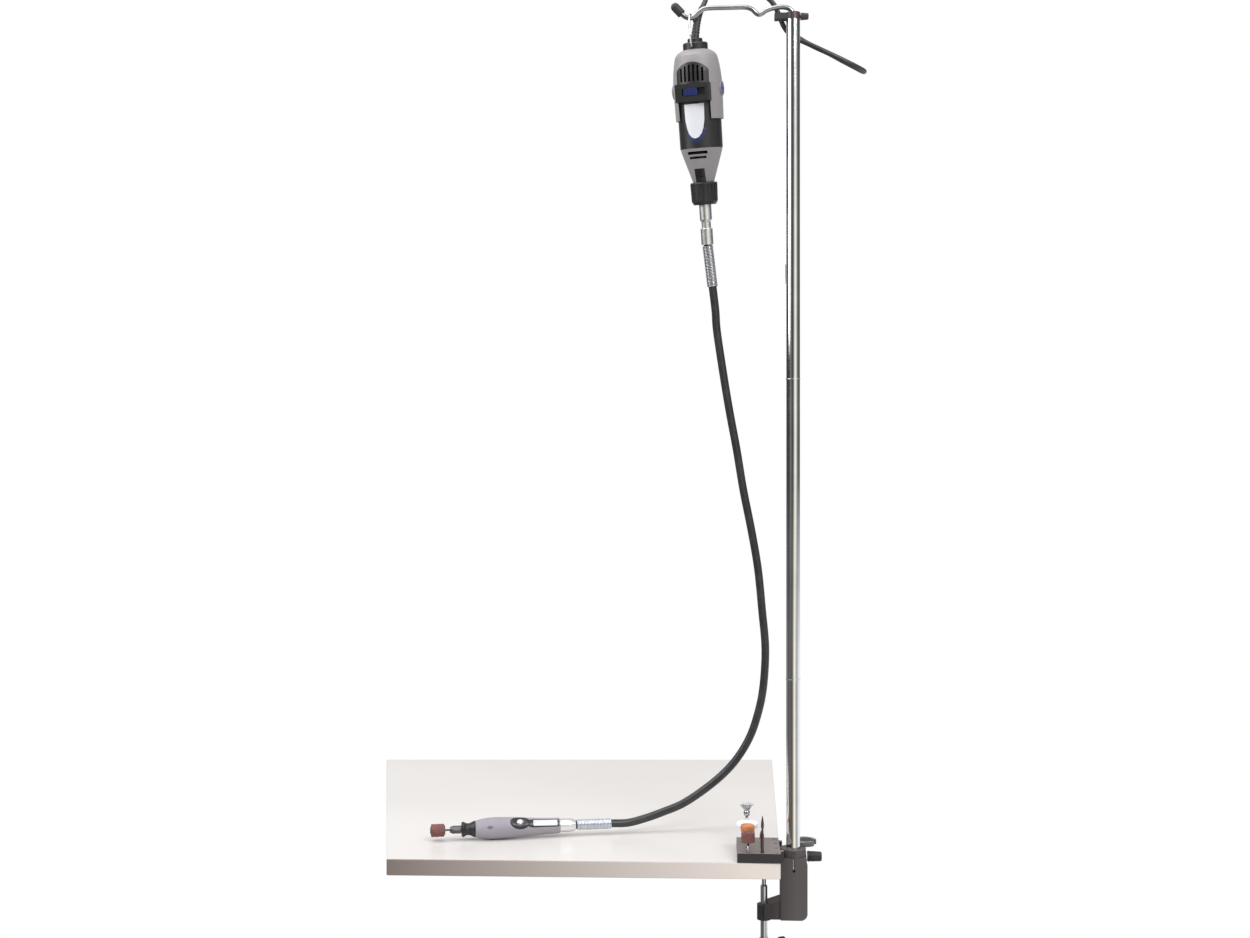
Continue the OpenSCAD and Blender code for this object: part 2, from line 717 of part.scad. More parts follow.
module rotor() {
    color("#a0672e") on_motor() {
        translate([0, 0, -155]) cylinder(h = 134, r = shaft_r);
        difference() {
            translate([0, 0, -106]) cylinder(h = 34, r = 12.6);
            for (a = [0:30:330]) rotate([0, 0, a]) translate([12.4, 0, -107])
                cylinder(h = 36, r = 0.9, $fn = 16);
        }
        translate([0, 0, -61]) cylinder(h = 15, r = 8);
        translate([0, 0, -126.4]) {
            cylinder(h = 2, r = 18);
            for (a = [0:30:330]) rotate([0, 0, a]) block([7, -0.5, 1], [17.5, 0.5, 7]);
        }
        difference() {
            translate([0, 0, -170.5]) cylinder(h = 17, r = 5);
            translate([0, 0, -171.5]) cylinder(h = 12, r = 2.6);
        }
    }
}

module bearing(z, h, r, bore) {
    translate([0, 0, z]) difference() {
        cylinder(h = h, r = r);
        translate([0, 0, -1]) cylinder(h = h + 2, r = bore);
    }
}

module motor_bearings() {
    color(steel) on_motor() {
        bearing(-34, 6, bearing_r, shaft_r + fit);
        bearing(-136.5, 7, bearing_r + 1.5 - fit, shaft_r + fit);
        // the web that carries the upper bearing in the housing
        difference() {
            translate([0, 0, -33]) cylinder(h = 4, r = 24.1);
            translate([0, 0, -40]) cylinder(h = 12, r = bearing_r);
            window(window_x + 2, -14, band_top);
        }
    }
}

nose_line = [[24.6, barrel_end], [23.4, -124.4], [12.4, nose_end]];

module nose_slot(w, x, h) {
    block([-x, -40, w - h], [x, -8, w]);
}

module nose_cone() {
    color(grey) on_motor() difference() {
        union() {
            turned(concat([[21, barrel_end]], nose_line,
                [[8.9, nose_end], [8.9, neck_end], [6.2, neck_end], [6.2, -146.5], [15.6, -138.5],
                    [20, -125.5]]));
            difference() {
                translate([0, 0, -137.5]) cylinder(h = 9, r = 16.4);
                translate([0, 0, -139.5]) cylinder(h = 12, r = bearing_r + 1.5);
            }
        }
        for (a = [0, 180]) rotate([0, 0, a]) {
            nose_slot(-123.3, 11.8, 3.4);
            nose_slot(-129, 10, 2.8);
        }
        block([-6, -30, nose_end - 0.1], [6, -7.9, -143.1]);
    }
}

module shaft_lock() {
    color(black) on_motor() difference() {
        intersection() {
            turned([[15.5, -143.5], [17.8, -143.5], [13.6, nose_end + 0.5], [11.2, nose_end + 0.5]]);
            block([-5.7, -30, nose_end], [5.7, 0, -143]);
        }
        for (w = [-153:2.4:-144]) block([-4.4, -30, w], [4.4, -0.345 * (w + 141) - 17.9, w + 0.9]);
    }
}

module coupling_nut() {
    color(black) on_motor() difference() {
        turned([[9, nose_end - gap], [nut_d / 2 - 1, nose_end - gap], [nut_d / 2, nose_end - 1.6],
            [nut_d / 2 - 0.6, nut_end + 4], [nut_d / 2 - 3, nut_end], [7.4, nut_end],
            [7.4, -178.5], [9, -178.5]]);
        for (a = [0:15:345]) rotate([0, 0, a]) translate([nut_d / 2 + 0.2, 0, nut_end - 1])
            cylinder(h = 24.4, r = 1.1, $fn = 16);
    }
}

module upper_ferrule() {
    color(steel) on_motor() turned([
        [3, -174.8], [8.8, -174.8], [8.8, -178.4], [7.25, -178.4], [7.25, -202], [5.6, -205],
        [5.5, -211.7], [7.2, -212.7], [7.2, sleeve_end], [5.6, sleeve_end], [5.6, -222.5], [3, -222.5]
    ]);
}

module spring_form(p) {
    tube_along(p, spring_wire, 6);
}

module upper_spring() {
    color(steel) spring_form(upper_points);
}

module flex_sheath() {
    color(black) difference() {
        tube_along(flex_points, sheath_d, 10);
        tube_along(flex_inner, 6, 8);
    }
}

module flex_core() {
    color(steel) tube_along(concat(
        [along_motor(-162.5), along_motor(-221.5)],
        [for (i = [1:len(flex_points) - 1]) flex_points[i]],
        [along_grip(76.5)]
    ), 4.2, 6);
}

// ---- handpiece ----

module lower_spring() {
    color(steel) spring_form(lower_points);
}

module lower_ferrule() {
    color(steel) on_grip() turned([
        [3, spring_end_s + gap], [6.4, spring_end_s + gap], [7.7, spring_end_s + 5], [8, grip_rear_s - 10],
        [8, grip_rear_s], [5.8, grip_rear_s], [5.8, grip_rear_s + 12], [3, grip_rear_s + 12]
    ]);
}

grip_line = [
    [8.8, grip_rear_s + 0.2], [9.3, 66], [9.6, 80], [10.3, 95], [11.5, 112], [12.5, 128], [grip_r, 140],
    [12.6, 150], [11.4, 159], [9.7, grip_front_s]
];

module grip() {
    color("#7d7a88") on_grip() difference() {
        turned(concat(
            grip_line,
            [
                [5.2, grip_front_s], [5.2, 160], [7.8, 160], [7.8, 152], [8.8, 140], [8.4, 112],
                [6.6, 95], [5.9, 78], [5.9, grip_rear_s + 0.2]
            ]
        ));
        on_button() translate([0, 0, -2]) cylinder(h = 11, r = 3.5);
        rotate([0, 0, 108]) translate([grip_r + 5.6, 0, 149]) scale([1, 0.55, 0.8]) sphere(r = 6.4, $fn = 32);
    }
}

// the button's place: half way up the side that faces the user
module on_button() {
    translate([0, 0, 113]) rotate([0, 0, 135]) rotate([0, 90, 0]) translate([0, 0, 9]) children();
}

module grip_nose() {
    color(black) on_grip() turned([
        [5, grip_front_s + 0.1], [9.6, grip_front_s + 0.1], [9.4, 168], [7.5, 171.5], [6.9, 174.5],
        [7.3, 177], [9, 180.2], [8.8, 181.6], [7.4, nose_front_s], [5, nose_front_s]
    ]);
}

module grip_label() {
    color("white") on_grip() intersection() {
        turned([
            [9.36, 68], [9.7, 80], [10.4, 95], [10.75, 97], [11.05, 97], [10.7, 95], [10, 80], [9.66, 68]
        ]);
        rotate([0, 0, 128]) translate([0, 0, 60]) block([0, -3.6, 0], [14, 3.6, 40]);
    }
}

module grip_button() {
    color(steel) on_grip() on_button() {
        turned([[0, -3], [3.7, -3], [3.7, -2.1], [3.2, -2.1], [3.2, 2.9], [2.4, 3.5], [0, 3.5]]);
    }
}

module grip_bearings() {
    color(steel) on_grip() {
        bearing(152.5, 6, 7.75, spindle_r + fit);
        bearing(79, 5, 5.85, spindle_r + fit);
    }
}

module spindle() {
    color("#4a4a4e") on_grip() {
        translate([0, 0, 77]) cylinder(h = 110, r = spindle_r);
        translate([0, 0, 183.1]) difference() {
            turned([[0, 0], [4.8, 0], [4.8, 9.5], [3, 13.2], [0, 13.2]]);
            for (a = [0:60:300]) rotate([0, 0, a]) block([4.3, -3, 1.5], [6, 3, 9.5]);
        }
        translate([0, 0, 196]) cylinder(h = 23.4, r = 1.2);
        translate([0, 0, 201.9]) cylinder(h = 0.9, r = 5.2);
        translate([0, 0, 218.7]) cylinder(h = 0.9, r = 4);
    }
}

module sanding_drum() {
    color("#7a3b3c") on_grip() difference() {
        turned([
            [0, 202.9], [drum_d / 2 - 0.4, 202.9], [drum_d / 2, 203.6], [drum_d / 2, 218],
            [drum_d / 2 - 0.4, 218.6], [0, 218.6]
        ]);
        translate([0, 0, 200]) cylinder(h = 20, r = 1.2);
    }
}

// ---- accessories ----

shank_r = 1.6;
shank_foot = tongue_h + 1.8;

module shank(top) {
    translate([0, 0, shank_foot]) cylinder(h = top - shank_foot, r = shank_r);
}

module wire_brush() {
    color(steel) at_hole(2, 3) {
        translate([0, 0, -5.2]) shank(45.2);
        turned([
            [0, 38], [3.6, 38], [3.6, 42], [2.8, 43], [5.2, 44.6], [9, 50],
            [8.4, 52.2], [5.6, 49.2], [0, 48.4]
        ]);
    }
}

module felt_wheel() {
    color("#f3f0ea") at_hole(2, 2) {
        shank(32);
        turned([[0, 29], [11.8, 29], [12.5, 29.7], [12.5, 33.9], [11.8, 34.6], [0, 34.6]]);
    }
}

module grinding_stone() {
    color("#e0793a") at_hole(2, 1) {
        shank(30);
        turned([[0, 28.6], [7.3, 28.6], [7.9, 29.2], [7.9, 36.2], [7.3, 36.8], [0, 36.8]]);
    }
}

module spare_drum() {
    color("#6e3836") at_hole(2, 0) {
        translate([0, 0, -5.2]) shank(27);
        turned([[0, 22], [7.3, 22], [7.7, 22.6], [7.7, 32.6], [7.3, 33.2], [0, 33.2]]);
    }
}

module pointed_bit() {
    color("#3a3436") at_hole(1, 0) {
        translate([0, 0, -5.2]) shank(37.2);
        turned([[0, 30], [1.1, 31], [1.1, 37], [1.8, 40], [1.5, 45], [0.3, 52], [0, 52]]);
    }
}

module polishing_point() {
    color("#7c5a44") at_hole(1, 1) {
        shank(23);
        turned([[0, 21], [2.2, 21], [2.6, 22], [2.4, 26], [1, 30.4], [0, 30.4]]);
    }
}

// ---- mains cord ----

module mains_cord() {
    color(black) tube_along(cord_points, cord_d, 8);
}

module cord_hank() {
    color(black) tube_along(concat(
        [[hank_start[0], hank_start[1], hank_top - join], hank_start + [0, 0, hank_lead / 2]],
        hank_points,
        [hank_end - [0, 0, plug_lead]]
    ), cord_d, 6);
}

module cord_tie() {
    color("#101012") translate(hank_place([0, 0, 0])) rotate([0, 0, hank_yaw]) difference() {
        translate([0, 0, -7]) linear_extrude(14) square([2 * 7.9, hank_outer + 6.9], center = true);
        translate([0, 0, -8]) linear_extrude(16) square([2 * 7.2, hank_outer + 5.3], center = true);
    }
}

module plug() {
    color(black) translate(hank_end - [0, 0, plug_lead + join]) rotate([180, 0, -hank_yaw]) {
        turned([[0, 0], [3.6, 0], [4.6, 11], [0, 11]]);
        translate([0, 0, 11]) linear_extrude(24) offset(r = 3, $fn = 24) square([3, 18], center = true);
        for (y = [-6.35, 6.35]) block([-0.75, y - 3.2, 35], [0.75, y + 3.2, 51]);
    }
}

clamp_frame();
bit_tray();
tray_screws();
collar_screws();
tool_ring();
clamp_pad();
clamp_screw();
screw_bar();
bar_caps();
lock_washer();
lock_knob();
mast_lower();
mast_middle();
mast_upper();
mast_sleeves();
hub();
hub_knob();
hanger_rod();
rod_tip();
bail();
end_cap();
cord_boot();
housing_shell();
motor_barrel();
grille();
switch_plate();
speed_slider();
label_plate();
brush_caps();
carbon_brushes();
stator();
rotor();
motor_bearings();
nose_cone();
shaft_lock();
coupling_nut();
upper_ferrule();
upper_spring();
flex_sheath();
flex_core();
lower_spring();
lower_ferrule();
grip();
grip_nose();
grip_label();
grip_button();
grip_bearings();
spindle();
sanding_drum();
wire_brush();
felt_wheel();
grinding_stone();
spare_drum();
pointed_bit();
polishing_point();
mains_cord();
cord_hank();
cord_tie();
plug();
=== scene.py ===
import math
import random

import bmesh
import bpy
from mathutils import Matrix, Vector, noise


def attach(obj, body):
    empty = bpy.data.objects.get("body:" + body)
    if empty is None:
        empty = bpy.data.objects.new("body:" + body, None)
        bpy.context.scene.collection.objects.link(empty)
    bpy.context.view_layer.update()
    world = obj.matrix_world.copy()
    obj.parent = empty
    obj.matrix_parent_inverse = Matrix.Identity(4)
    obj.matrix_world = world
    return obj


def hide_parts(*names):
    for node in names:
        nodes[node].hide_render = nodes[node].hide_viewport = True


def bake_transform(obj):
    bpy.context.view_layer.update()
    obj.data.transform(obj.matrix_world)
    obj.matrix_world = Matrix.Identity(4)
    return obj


bl_info = {
    "name": "Rotary tool with flex shaft",
    "version": (1, 0, 0),
    "blender": (4, 2, 0),
    "location": "View3D > Sidebar > Rotary tool",
    "description": "Dresses the hanging rotary tool, its flex shaft and its bench stand",
    "category": "Object",
}

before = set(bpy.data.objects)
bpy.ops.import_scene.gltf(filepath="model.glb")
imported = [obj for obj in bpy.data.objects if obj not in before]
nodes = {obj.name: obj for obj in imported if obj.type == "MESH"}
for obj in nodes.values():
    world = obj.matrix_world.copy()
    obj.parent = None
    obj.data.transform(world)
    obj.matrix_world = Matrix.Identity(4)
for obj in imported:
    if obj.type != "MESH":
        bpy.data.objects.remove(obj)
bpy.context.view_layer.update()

# routes and outlines are in millimetres, the scene is in metres
MM_PER_M = 1000
TO_METRES = Matrix.Scale(1 / MM_PER_M, 4)

# the motor, the grip and the bail each have a frame of their own, in millimetres
MOTOR = (
    Matrix.Translation((-79.2, 3.4, 937))
    @ Matrix.Rotation(math.radians(10), 4, "X")
    @ Matrix.Rotation(math.radians(-3.5), 4, "Y")
    @ Matrix.Rotation(math.radians(-14), 4, "Z")
)
GRIP = (
    Matrix.Translation((-181, 84, 13))
    @ Matrix.Rotation(math.radians(193), 4, "Z")
    @ Matrix.Rotation(math.radians(90), 4, "Y")
)
FEET = (
    Matrix.Translation(MOTOR @ Vector((0, 0, -5.5)))
    @ Matrix.Rotation(math.radians(10), 4, "X")
    @ Matrix.Rotation(math.radians(-14), 4, "Z")
)
# along the motor's axis: the coupling sleeve's end and the two ends of the core's straight head
SLEEVE_END = -231.1
CORE_HEAD = (-162.5, -221.5)
# along the grip's axis: the end of the lower spring and the end of the core
SPRING_END = 45
CORE_END = 76.5
CORE_RADIUS = 2.1
SPRING_FOOT = Vector((-59, 55.5, 660))
MAST_X = 33.4
HOLE_X = [13.5 - 16.25 * i for i in range(3)]
HOLE_Y = [20.7 * (i - 1.5) for i in range(4)]

BOOT_ROUTE = [(-79.4, 2.9, 940), (-78.4, 3.2, 951), (-76.7, 5.4, 962), (-74.2, 10.4, 973), (-71, 12.9, 981)]
CORD_ROUTE = [
    (-65.4, 17, 996.5), (-59.5, 19, 1005), (-49, 20, 1011.5), (-36, 17, 1013.5), (-22, 12.5, 1008.5),
    (-11, 9, 1001), (3, 10.5, 991), (11, 12, 983.5), (17.5, 13.5, 971.5), (24, 16, 957),
    (34, 17, 946.5), (52, 17, 937.5), (70, 16, 928.5), (87, 17, 920.5), (101, 20.5, 914.5),
    (111.5, 28.5, 911.5), (118.5, 41.5, 911.5), (118.5, 56, 915), (110.5, 69, 923.5), (96, 75.5, 933.5),
    (80, 74, 942), (64, 72, 949), (51, 64, 953.5), (42, 51, 954.5), (37, 37, 948),
    (35, 24, 935), (34, 16.5, 918), (34, 16.5, 890), (33, 18, 840), (31.8, 21, 790), (30, 22, 745),
]
FLEX_ROUTE = [
    (-54, 67, 610), (-47, 73, 563), (-39, 79, 515), (-30, 84, 467), (-22, 89, 419), (-12, 92, 369),
    (-4, 95, 322), (1, 97, 272), (5, 98, 224), (2, 98, 175), (-6, 98, 139), (-16, 98, 113),
    (-31, 98, 89), (-50, 100, 68), (-75, 100, 48), (-97, 99, 34), (-119, 97, 25), (-140, 93, 18),
]
ROD_ROUTE = [
    (-101.6, 0, 977), (-94.5, 0, 969.4), (-90, 0, 966), (-85, 0, 964.7), (-80, 0, 966.6),
    (-75, 0, 971.5), (-69, 0, 975), (-60, 0, 976), (-41, 0, 976), (-22, 0, 976), (-14, 0, 973.6),
    (-9, 0, 969), (-5.7, 0, 967.4), (-2.4, 0, 968.4), (1.2, 0, 971), (6.9, 0, 973.4), (13.8, 0, 975),
    (20.7, 0, 975.4), (27, 0, 974.4), (31.2, 0, 971.6), (33.2, 0, 967.5), (33.4, 0, 963), (33.4, 0, 933),
]
BAIL_SIDE = [
    (0, -13, 0), (0, -15.6, 0), (-0.3, -17.9, 1.8), (-0.9, -18.2, 9), (-2.3, -17, 19), (-4.2, -11.5, 29.3),
    (-5.8, -5, 35.8),
]


# ---- sizes and colours ----


class ToolSizes(bpy.types.PropertyGroup):
    cord: bpy.props.FloatProperty(
        name="Mains cord", description="Diameter of the mains cord", default=0.0058, subtype="DISTANCE")
    sheath: bpy.props.FloatProperty(
        name="Sheath", description="Diameter of the flex shaft's sheath", default=0.0096, subtype="DISTANCE")
    spring: bpy.props.FloatProperty(
        name="Spring", description="Outer diameter of the springs at the sheath's ends", default=0.0129,
        subtype="DISTANCE")
    spring_wire: bpy.props.FloatProperty(
        name="Spring wire", description="Wire of those springs", default=0.0016, subtype="DISTANCE")
    spring_pitch: bpy.props.FloatProperty(
        name="Spring pitch", description="Distance from one turn to the next", default=0.00176,
        subtype="DISTANCE")
    rod: bpy.props.FloatProperty(
        name="Hanger rod", description="Diameter of the bent rod", default=0.0054, subtype="DISTANCE")
    bail: bpy.props.FloatProperty(
        name="Bail wire", description="Diameter of the bail's wire", default=0.0023, subtype="DISTANCE")
    drum: bpy.props.FloatProperty(
        name="Sanding drum", description="Diameter of the fitted sanding drum", default=0.015,
        subtype="DISTANCE")
    bristles: bpy.props.IntProperty(
        name="Bristles", description="Wires in the cup brush", default=110, min=20, max=300)
    board: bpy.props.FloatProperty(
        name="Board", description="Thickness of the bench board", default=0.0184, subtype="DISTANCE")


def colour(name, description, value):
    return bpy.props.FloatVectorProperty(
        name=name, description=description, default=value, size=3, min=0, max=1, subtype="COLOR")


class ToolColours(bpy.types.PropertyGroup):
    housing: colour("Housing", "Grey of the motor's shell and nose", (0.28, 0.26, 0.265))
    grip: colour("Grip", "Grey of the handpiece's grip", (0.33, 0.305, 0.345))
    barrel: colour("Barrel", "Black plastic of the motor", (0.017, 0.017, 0.018))
    casting: colour("Casting", "Paint of the clamp's casting", (0.033, 0.028, 0.028))
    blue: colour("Blue", "Speed slider and brush caps", (0.018, 0.04, 0.24))
    cord: colour("Cord", "Rubber of the cord and the sheath", (0.028, 0.028, 0.03))
    chrome: colour("Chrome", "Plating of the mast", (0.8, 0.8, 0.8))
    zinc: colour("Zinc", "Plating of wires and screws", (0.62, 0.63, 0.65))
    grit: colour("Grit", "Abrasive of the drums", (0.16, 0.055, 0.05))
    stone: colour("Stone", "Grinding stone", (0.5, 0.165, 0.06))
    felt: colour("Felt", "Polishing wheel", (0.94, 0.92, 0.89))
    label: colour("Label", "Bare labels", (0.7, 0.7, 0.73))
    board: colour("Board", "Top of the bench board", (0.73, 0.695, 0.665))


def sizes():
    return bpy.context.scene.tool_sizes


def colours():
    return bpy.context.scene.tool_colours


# ---- shader maths ----


class Field:
    """A shader socket that takes part in sums, so that 1 - mask adds its Math node."""

    def __init__(self, net, socket):
        self.net = net
        self.socket = socket

    def maths(self, operation, first, second):
        return self.net.node("ShaderNodeMath", {"operation": operation}, {0: first, 1: second})

    def __add__(self, other):
        return self.maths("ADD", self, other)

    def __radd__(self, other):
        return self.maths("ADD", other, self)

    def __sub__(self, other):
        return self.maths("SUBTRACT", self, other)

    def __rsub__(self, other):
        return self.maths("SUBTRACT", other, self)

    def __mul__(self, other):
        return self.maths("MULTIPLY", self, other)

    def __rmul__(self, other):
        return self.maths("MULTIPLY", other, self)

    def __gt__(self, other):
        return self.maths("GREATER_THAN", self, other)

    def __lt__(self, other):
        return self.maths("LESS_THAN", self, other)


class Net:
    """One node tree, of a material or of the world."""

    def __init__(self, owner):
        owner.use_nodes = True
        self.tree = owner.node_tree
        self.tree.nodes.clear()

    def node(self, kind, settings, values, out=0):
        made = self.tree.nodes.new(kind)
        for key, value in settings.items():
            if key == "stops":
                ramp = made.color_ramp
                while len(ramp.elements) < len(value):
                    ramp.elements.new(0.5)
                for element, (place, shade) in zip(ramp.elements, value):
                    element.position = place
                    element.color = (*shade, 1)
            else:
                setattr(made, key, value)
        for key, value in values.items():
            if isinstance(value, Field):
                self.tree.links.new(value.socket, made.inputs[key])
            elif made.inputs[key].type == "RGBA" and len(value) == 3:
                made.inputs[key].default_value = (*value, 1)
            else:
                made.inputs[key].default_value = value
        return Field(self, made.outputs[out])

    def place(self, stretch=(1, 1, 1)):
        at = self.node("ShaderNodeTexCoord", {}, {}, "Object")
        return self.node("ShaderNodeMapping", {}, {"Vector": at, "Scale": stretch})

    def axis(self, which):
        at = self.node("ShaderNodeTexCoord", {}, {}, "Object")
        return self.node("ShaderNodeSeparateXYZ", {}, {"Vector": at}, which)

    def upward(self):
        """The part of a face that looks up, from 0 to 1."""
        normal = self.node("ShaderNodeNewGeometry", {}, {}, "Normal")
        return self.band(self.node("ShaderNodeSeparateXYZ", {}, {"Vector": normal}, "Z"), 0.3, 0.8)

    def noise(self, scale, detail=4.0, rough=0.5, stretch=(1, 1, 1)):
        return self.node(
            "ShaderNodeTexNoise", {},
            {"Vector": self.place(stretch), "Scale": scale, "Detail": detail, "Roughness": rough}, 0)

    def band(self, field, low, high, a=0.0, b=1.0):
        return self.node(
            "ShaderNodeMapRange", {"clamp": True},
            {"Value": field, "From Min": low, "From Max": high, "To Min": a, "To Max": b})

    def mix(self, factor, a, b):
        return self.node(
            "ShaderNodeMix", {"data_type": "RGBA"}, {0: factor, 6: a, 7: b}, 2)

    def bump(self, height, strength, distance):
        return self.node(
            "ShaderNodeBump", {}, {"Height": height, "Strength": strength, "Distance": distance})

    def shade(self, sockets):
        surface = self.node("ShaderNodeBsdfPrincipled", {}, sockets)
        self.tree.links.new(
            surface.socket, self.tree.nodes.new("ShaderNodeOutputMaterial").inputs["Surface"])


def tone(base, factor):
    return tuple(min(1.0, v * factor) for v in base)


def tone_to(light, warmth):
    """A grey of that brightness, turned to cream by a positive warmth and to blue by a negative one."""
    return light * (1 + 0.3 * warmth), light, light * (1 - warmth)


def finish(name, base, rough=0.5, metal=0.0, grain=900.0, depth=0.00008, mottle=0.12, cloud=30.0, sheen=0.0,
           coat=0.0, stretch=(1, 1, 1), second=None, top=None):
    """A solid finish: clouded colour, uneven gloss and a fine grain.

    second is a colour and the two x between which it comes in; top is a painted light colour for faces that
    look up, lighter as if lit from above."""
    material = bpy.data.materials.new(name)
    net = Net(material)
    broad = net.noise(cloud, 5.0, 0.6)
    fine = net.noise(grain, 3.0, 0.6, stretch)
    shade = net.mix(net.band(broad, 0.3, 0.7), tone(base, 1 - mottle), tone(base, 1 + mottle))
    if second:
        shade = net.mix(net.band(net.axis(0), second[1], second[2]), shade, second[0])
    # painted light: faces that look up take the lighter top colour
    if top:
        shade = net.mix(net.upward(), shade, top)
    smoothest, roughest = max(0.03, rough - 0.06), min(1, rough + 0.07)
    sockets = {
        "Base Color": shade,
        "Roughness": net.band(fine * 0.5 + broad * 0.5, 0.3, 0.7, smoothest, roughest),
        "Metallic": metal,
        "Normal": net.bump(fine, 0.5, depth),
    }
    if sheen:
        sockets["Sheen Weight"] = sheen
        sockets["Sheen Roughness"] = 0.5
    if coat:
        sockets["Coat Weight"] = coat
        sockets["Coat Roughness"] = 0.15
    net.shade(sockets)
    return material


def plated(name, base, rough, draw=(1, 1, 1), grain=500.0, depth=0.000004):
    """Plated metal with a faint drawn grain and dull patches."""
    material = bpy.data.materials.new(name)
    net = Net(material)
    drawn = net.noise(grain, 4.0, 0.7, draw)
    patch = net.noise(24.0, 5.0, 0.65)
    net.shade({
        "Base Color": net.mix(net.band(patch, 0.35, 0.7), tone(base, 0.92), tone(base, 1.05)),
        "Roughness": net.band(patch * 0.6 + drawn * 0.4, 0.35, 0.65, max(0.02, rough - 0.04), rough + 0.06),
        "Metallic": 1.0,
        "Normal": net.bump(drawn, 0.25, depth),
    })
    return material


def grit(name, base, dark, light, size):
    """Abrasive grains of mixed colour in their binder."""
    material = bpy.data.materials.new(name)
    net = Net(material)
    grains, kind = (
        net.node(
            "ShaderNodeTexVoronoi", {"feature": "F1"},
            {"Vector": net.place(), "Scale": size, "Randomness": 1.0}, socket)
        for socket in (0, 1))
    pick = net.node("ShaderNodeSeparateColor", {}, {"Color": kind}, 0)
    soiled = net.noise(120, 4.0)
    body = net.mix(net.band(pick, 0.55, 0.75), base, light)
    body = net.mix(net.band(pick, 0.2, 0.1), body, dark)
    net.shade({
        "Base Color": net.mix(net.band(soiled, 0.5, 0.75, 0, 0.5), body, tone(base, 0.55)),
        "Roughness": net.band(pick, 0, 1, 0.7, 0.95),
        "Normal": net.bump(1 - grains, 0.8, 0.0003),
    })
    return material


def felt(name, base):
    """Pressed wool: a soft tangle of fibres."""
    material = bpy.data.materials.new(name)
    net = Net(material)
    fibre = net.noise(700, 8.0, 0.75, (1, 1, 3))
    tuft = net.noise(180, 4.0, 0.6)
    loose = net.band(fibre * 0.5 + tuft * 0.5, 0.35, 0.65)
    net.shade({
        "Base Color": net.mix(loose, tone(base, 0.86), tone(base, 1.06)),
        "Roughness": net.band(tuft, 0.3, 0.7, 0.88, 0.98),
        "Sheen Weight": 0.4,
        "Sheen Roughness": 0.5,
        "Normal": net.bump(fibre + tuft, 0.7, 0.0004),
    })
    return material


def rubber_line(name, base, gloss):
    """Smooth moulded rubber of a cord, with dust and small dents."""
    material = bpy.data.materials.new(name)
    net = Net(material)
    dust = net.noise(60, 6.0, 0.65)
    dent = net.noise(320, 3.0, 0.5)
    net.shade({
        "Base Color": net.mix(net.band(dust, 0.45, 0.75, 0, 0.6), base, tone(base, 2.2)),
        "Roughness": net.band(dust, 0.3, 0.7, gloss, gloss + 0.14),
        "Normal": net.bump(dent, 0.35, 0.0002),
    })
    return material


def winding(name, base, foot):
    """Enamelled copper wire laid side by side above the height foot, and dark moulded parts below it."""
    material = bpy.data.materials.new(name)
    net = Net(material)
    turns = net.node(
        "ShaderNodeTexWave", {"bands_direction": "Z", "wave_profile": "SIN"},
        {"Vector": net.place(), "Scale": 400.0, "Distortion": 1.5, "Detail": 2.0}, 1)
    coiled = net.axis(2) > foot
    wire = net.mix(net.band(turns, 0.2, 0.8), tone(base, 0.5), tone(base, 1.1))
    net.shade({
        "Base Color": net.mix(coiled, (0.008, 0.008, 0.009), wire),
        "Roughness": net.band(turns, 0, 1, 0.5, 0.3),
        "Metallic": coiled * 0.7,
        "Normal": net.bump(turns, 0.6, 0.0003),
    })
    return material


def laminate(name, base, left, right):
    """The board: a smooth faintly marbled face, and a cut edge from a dull left to a pale right, which is
    painted shade turning to painted light.
    """
    material = bpy.data.materials.new(name)
    net = Net(material)
    marble = net.noise(2.2, 2.0, 0.5, (1, 2.5, 1))
    pore = net.noise(900, 2.0)
    face = net.mix(net.band(marble, 0.35, 0.65), tone(base, 0.985), tone(base, 1.02))
    # the cut edge's colour: painted shade at the left, painted light at the right
    side = net.mix(net.band(net.axis(0), -0.43, 0.0), left, right)
    net.shade({
        "Base Color": net.mix(net.upward(), side, face),
        "Roughness": net.band(marble, 0.3, 0.7, 0.27, 0.32),
        "Normal": net.bump(pore, 0.2, 0.00005),
    })
    return material


# ---- meshes ----


def mesh_object(name, mesh_data, material, body, smooth=True):
    obj = bpy.data.objects.new(name, mesh_data)
    bpy.context.scene.collection.objects.link(obj)
    if smooth:
        mesh_data.polygons.foreach_set("use_smooth", [True] * len(mesh_data.polygons))
    mesh_data.materials.append(material)
    if body:
        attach(obj, body)
    return obj


def to_mesh(name, bm):
    bmesh.ops.recalc_face_normals(bm, faces=bm.faces)
    made = bpy.data.meshes.new(name)
    bm.to_mesh(made)
    bm.free()
    return made


def curve(points, steps):
    """Points on a smooth line through the given points."""
    p = [Vector(q) for q in points]
    last = len(p) - 1
    line = []
    for i in range(last):
        a, b, c, d = p[max(i - 1, 0)], p[i], p[i + 1], p[min(i + 2, last)]
        for k in range(steps):
            u = k / steps
            line.append(0.5 * (2 * b + (c - a) * u + (2 * a - 5 * b + 4 * c - d) * u * u
                               + (3 * b - a - 3 * c + d) * u ** 3))
    return line + [p[last]]


def side_of(ahead):
    """A direction square to ahead, with a second reference for lines that stand nearly upright."""
    reference = Vector((0, 0, 1)) if abs(ahead.z) < 0.8 else Vector((0, 1, 0))
    return ahead.cross(reference).normalized()


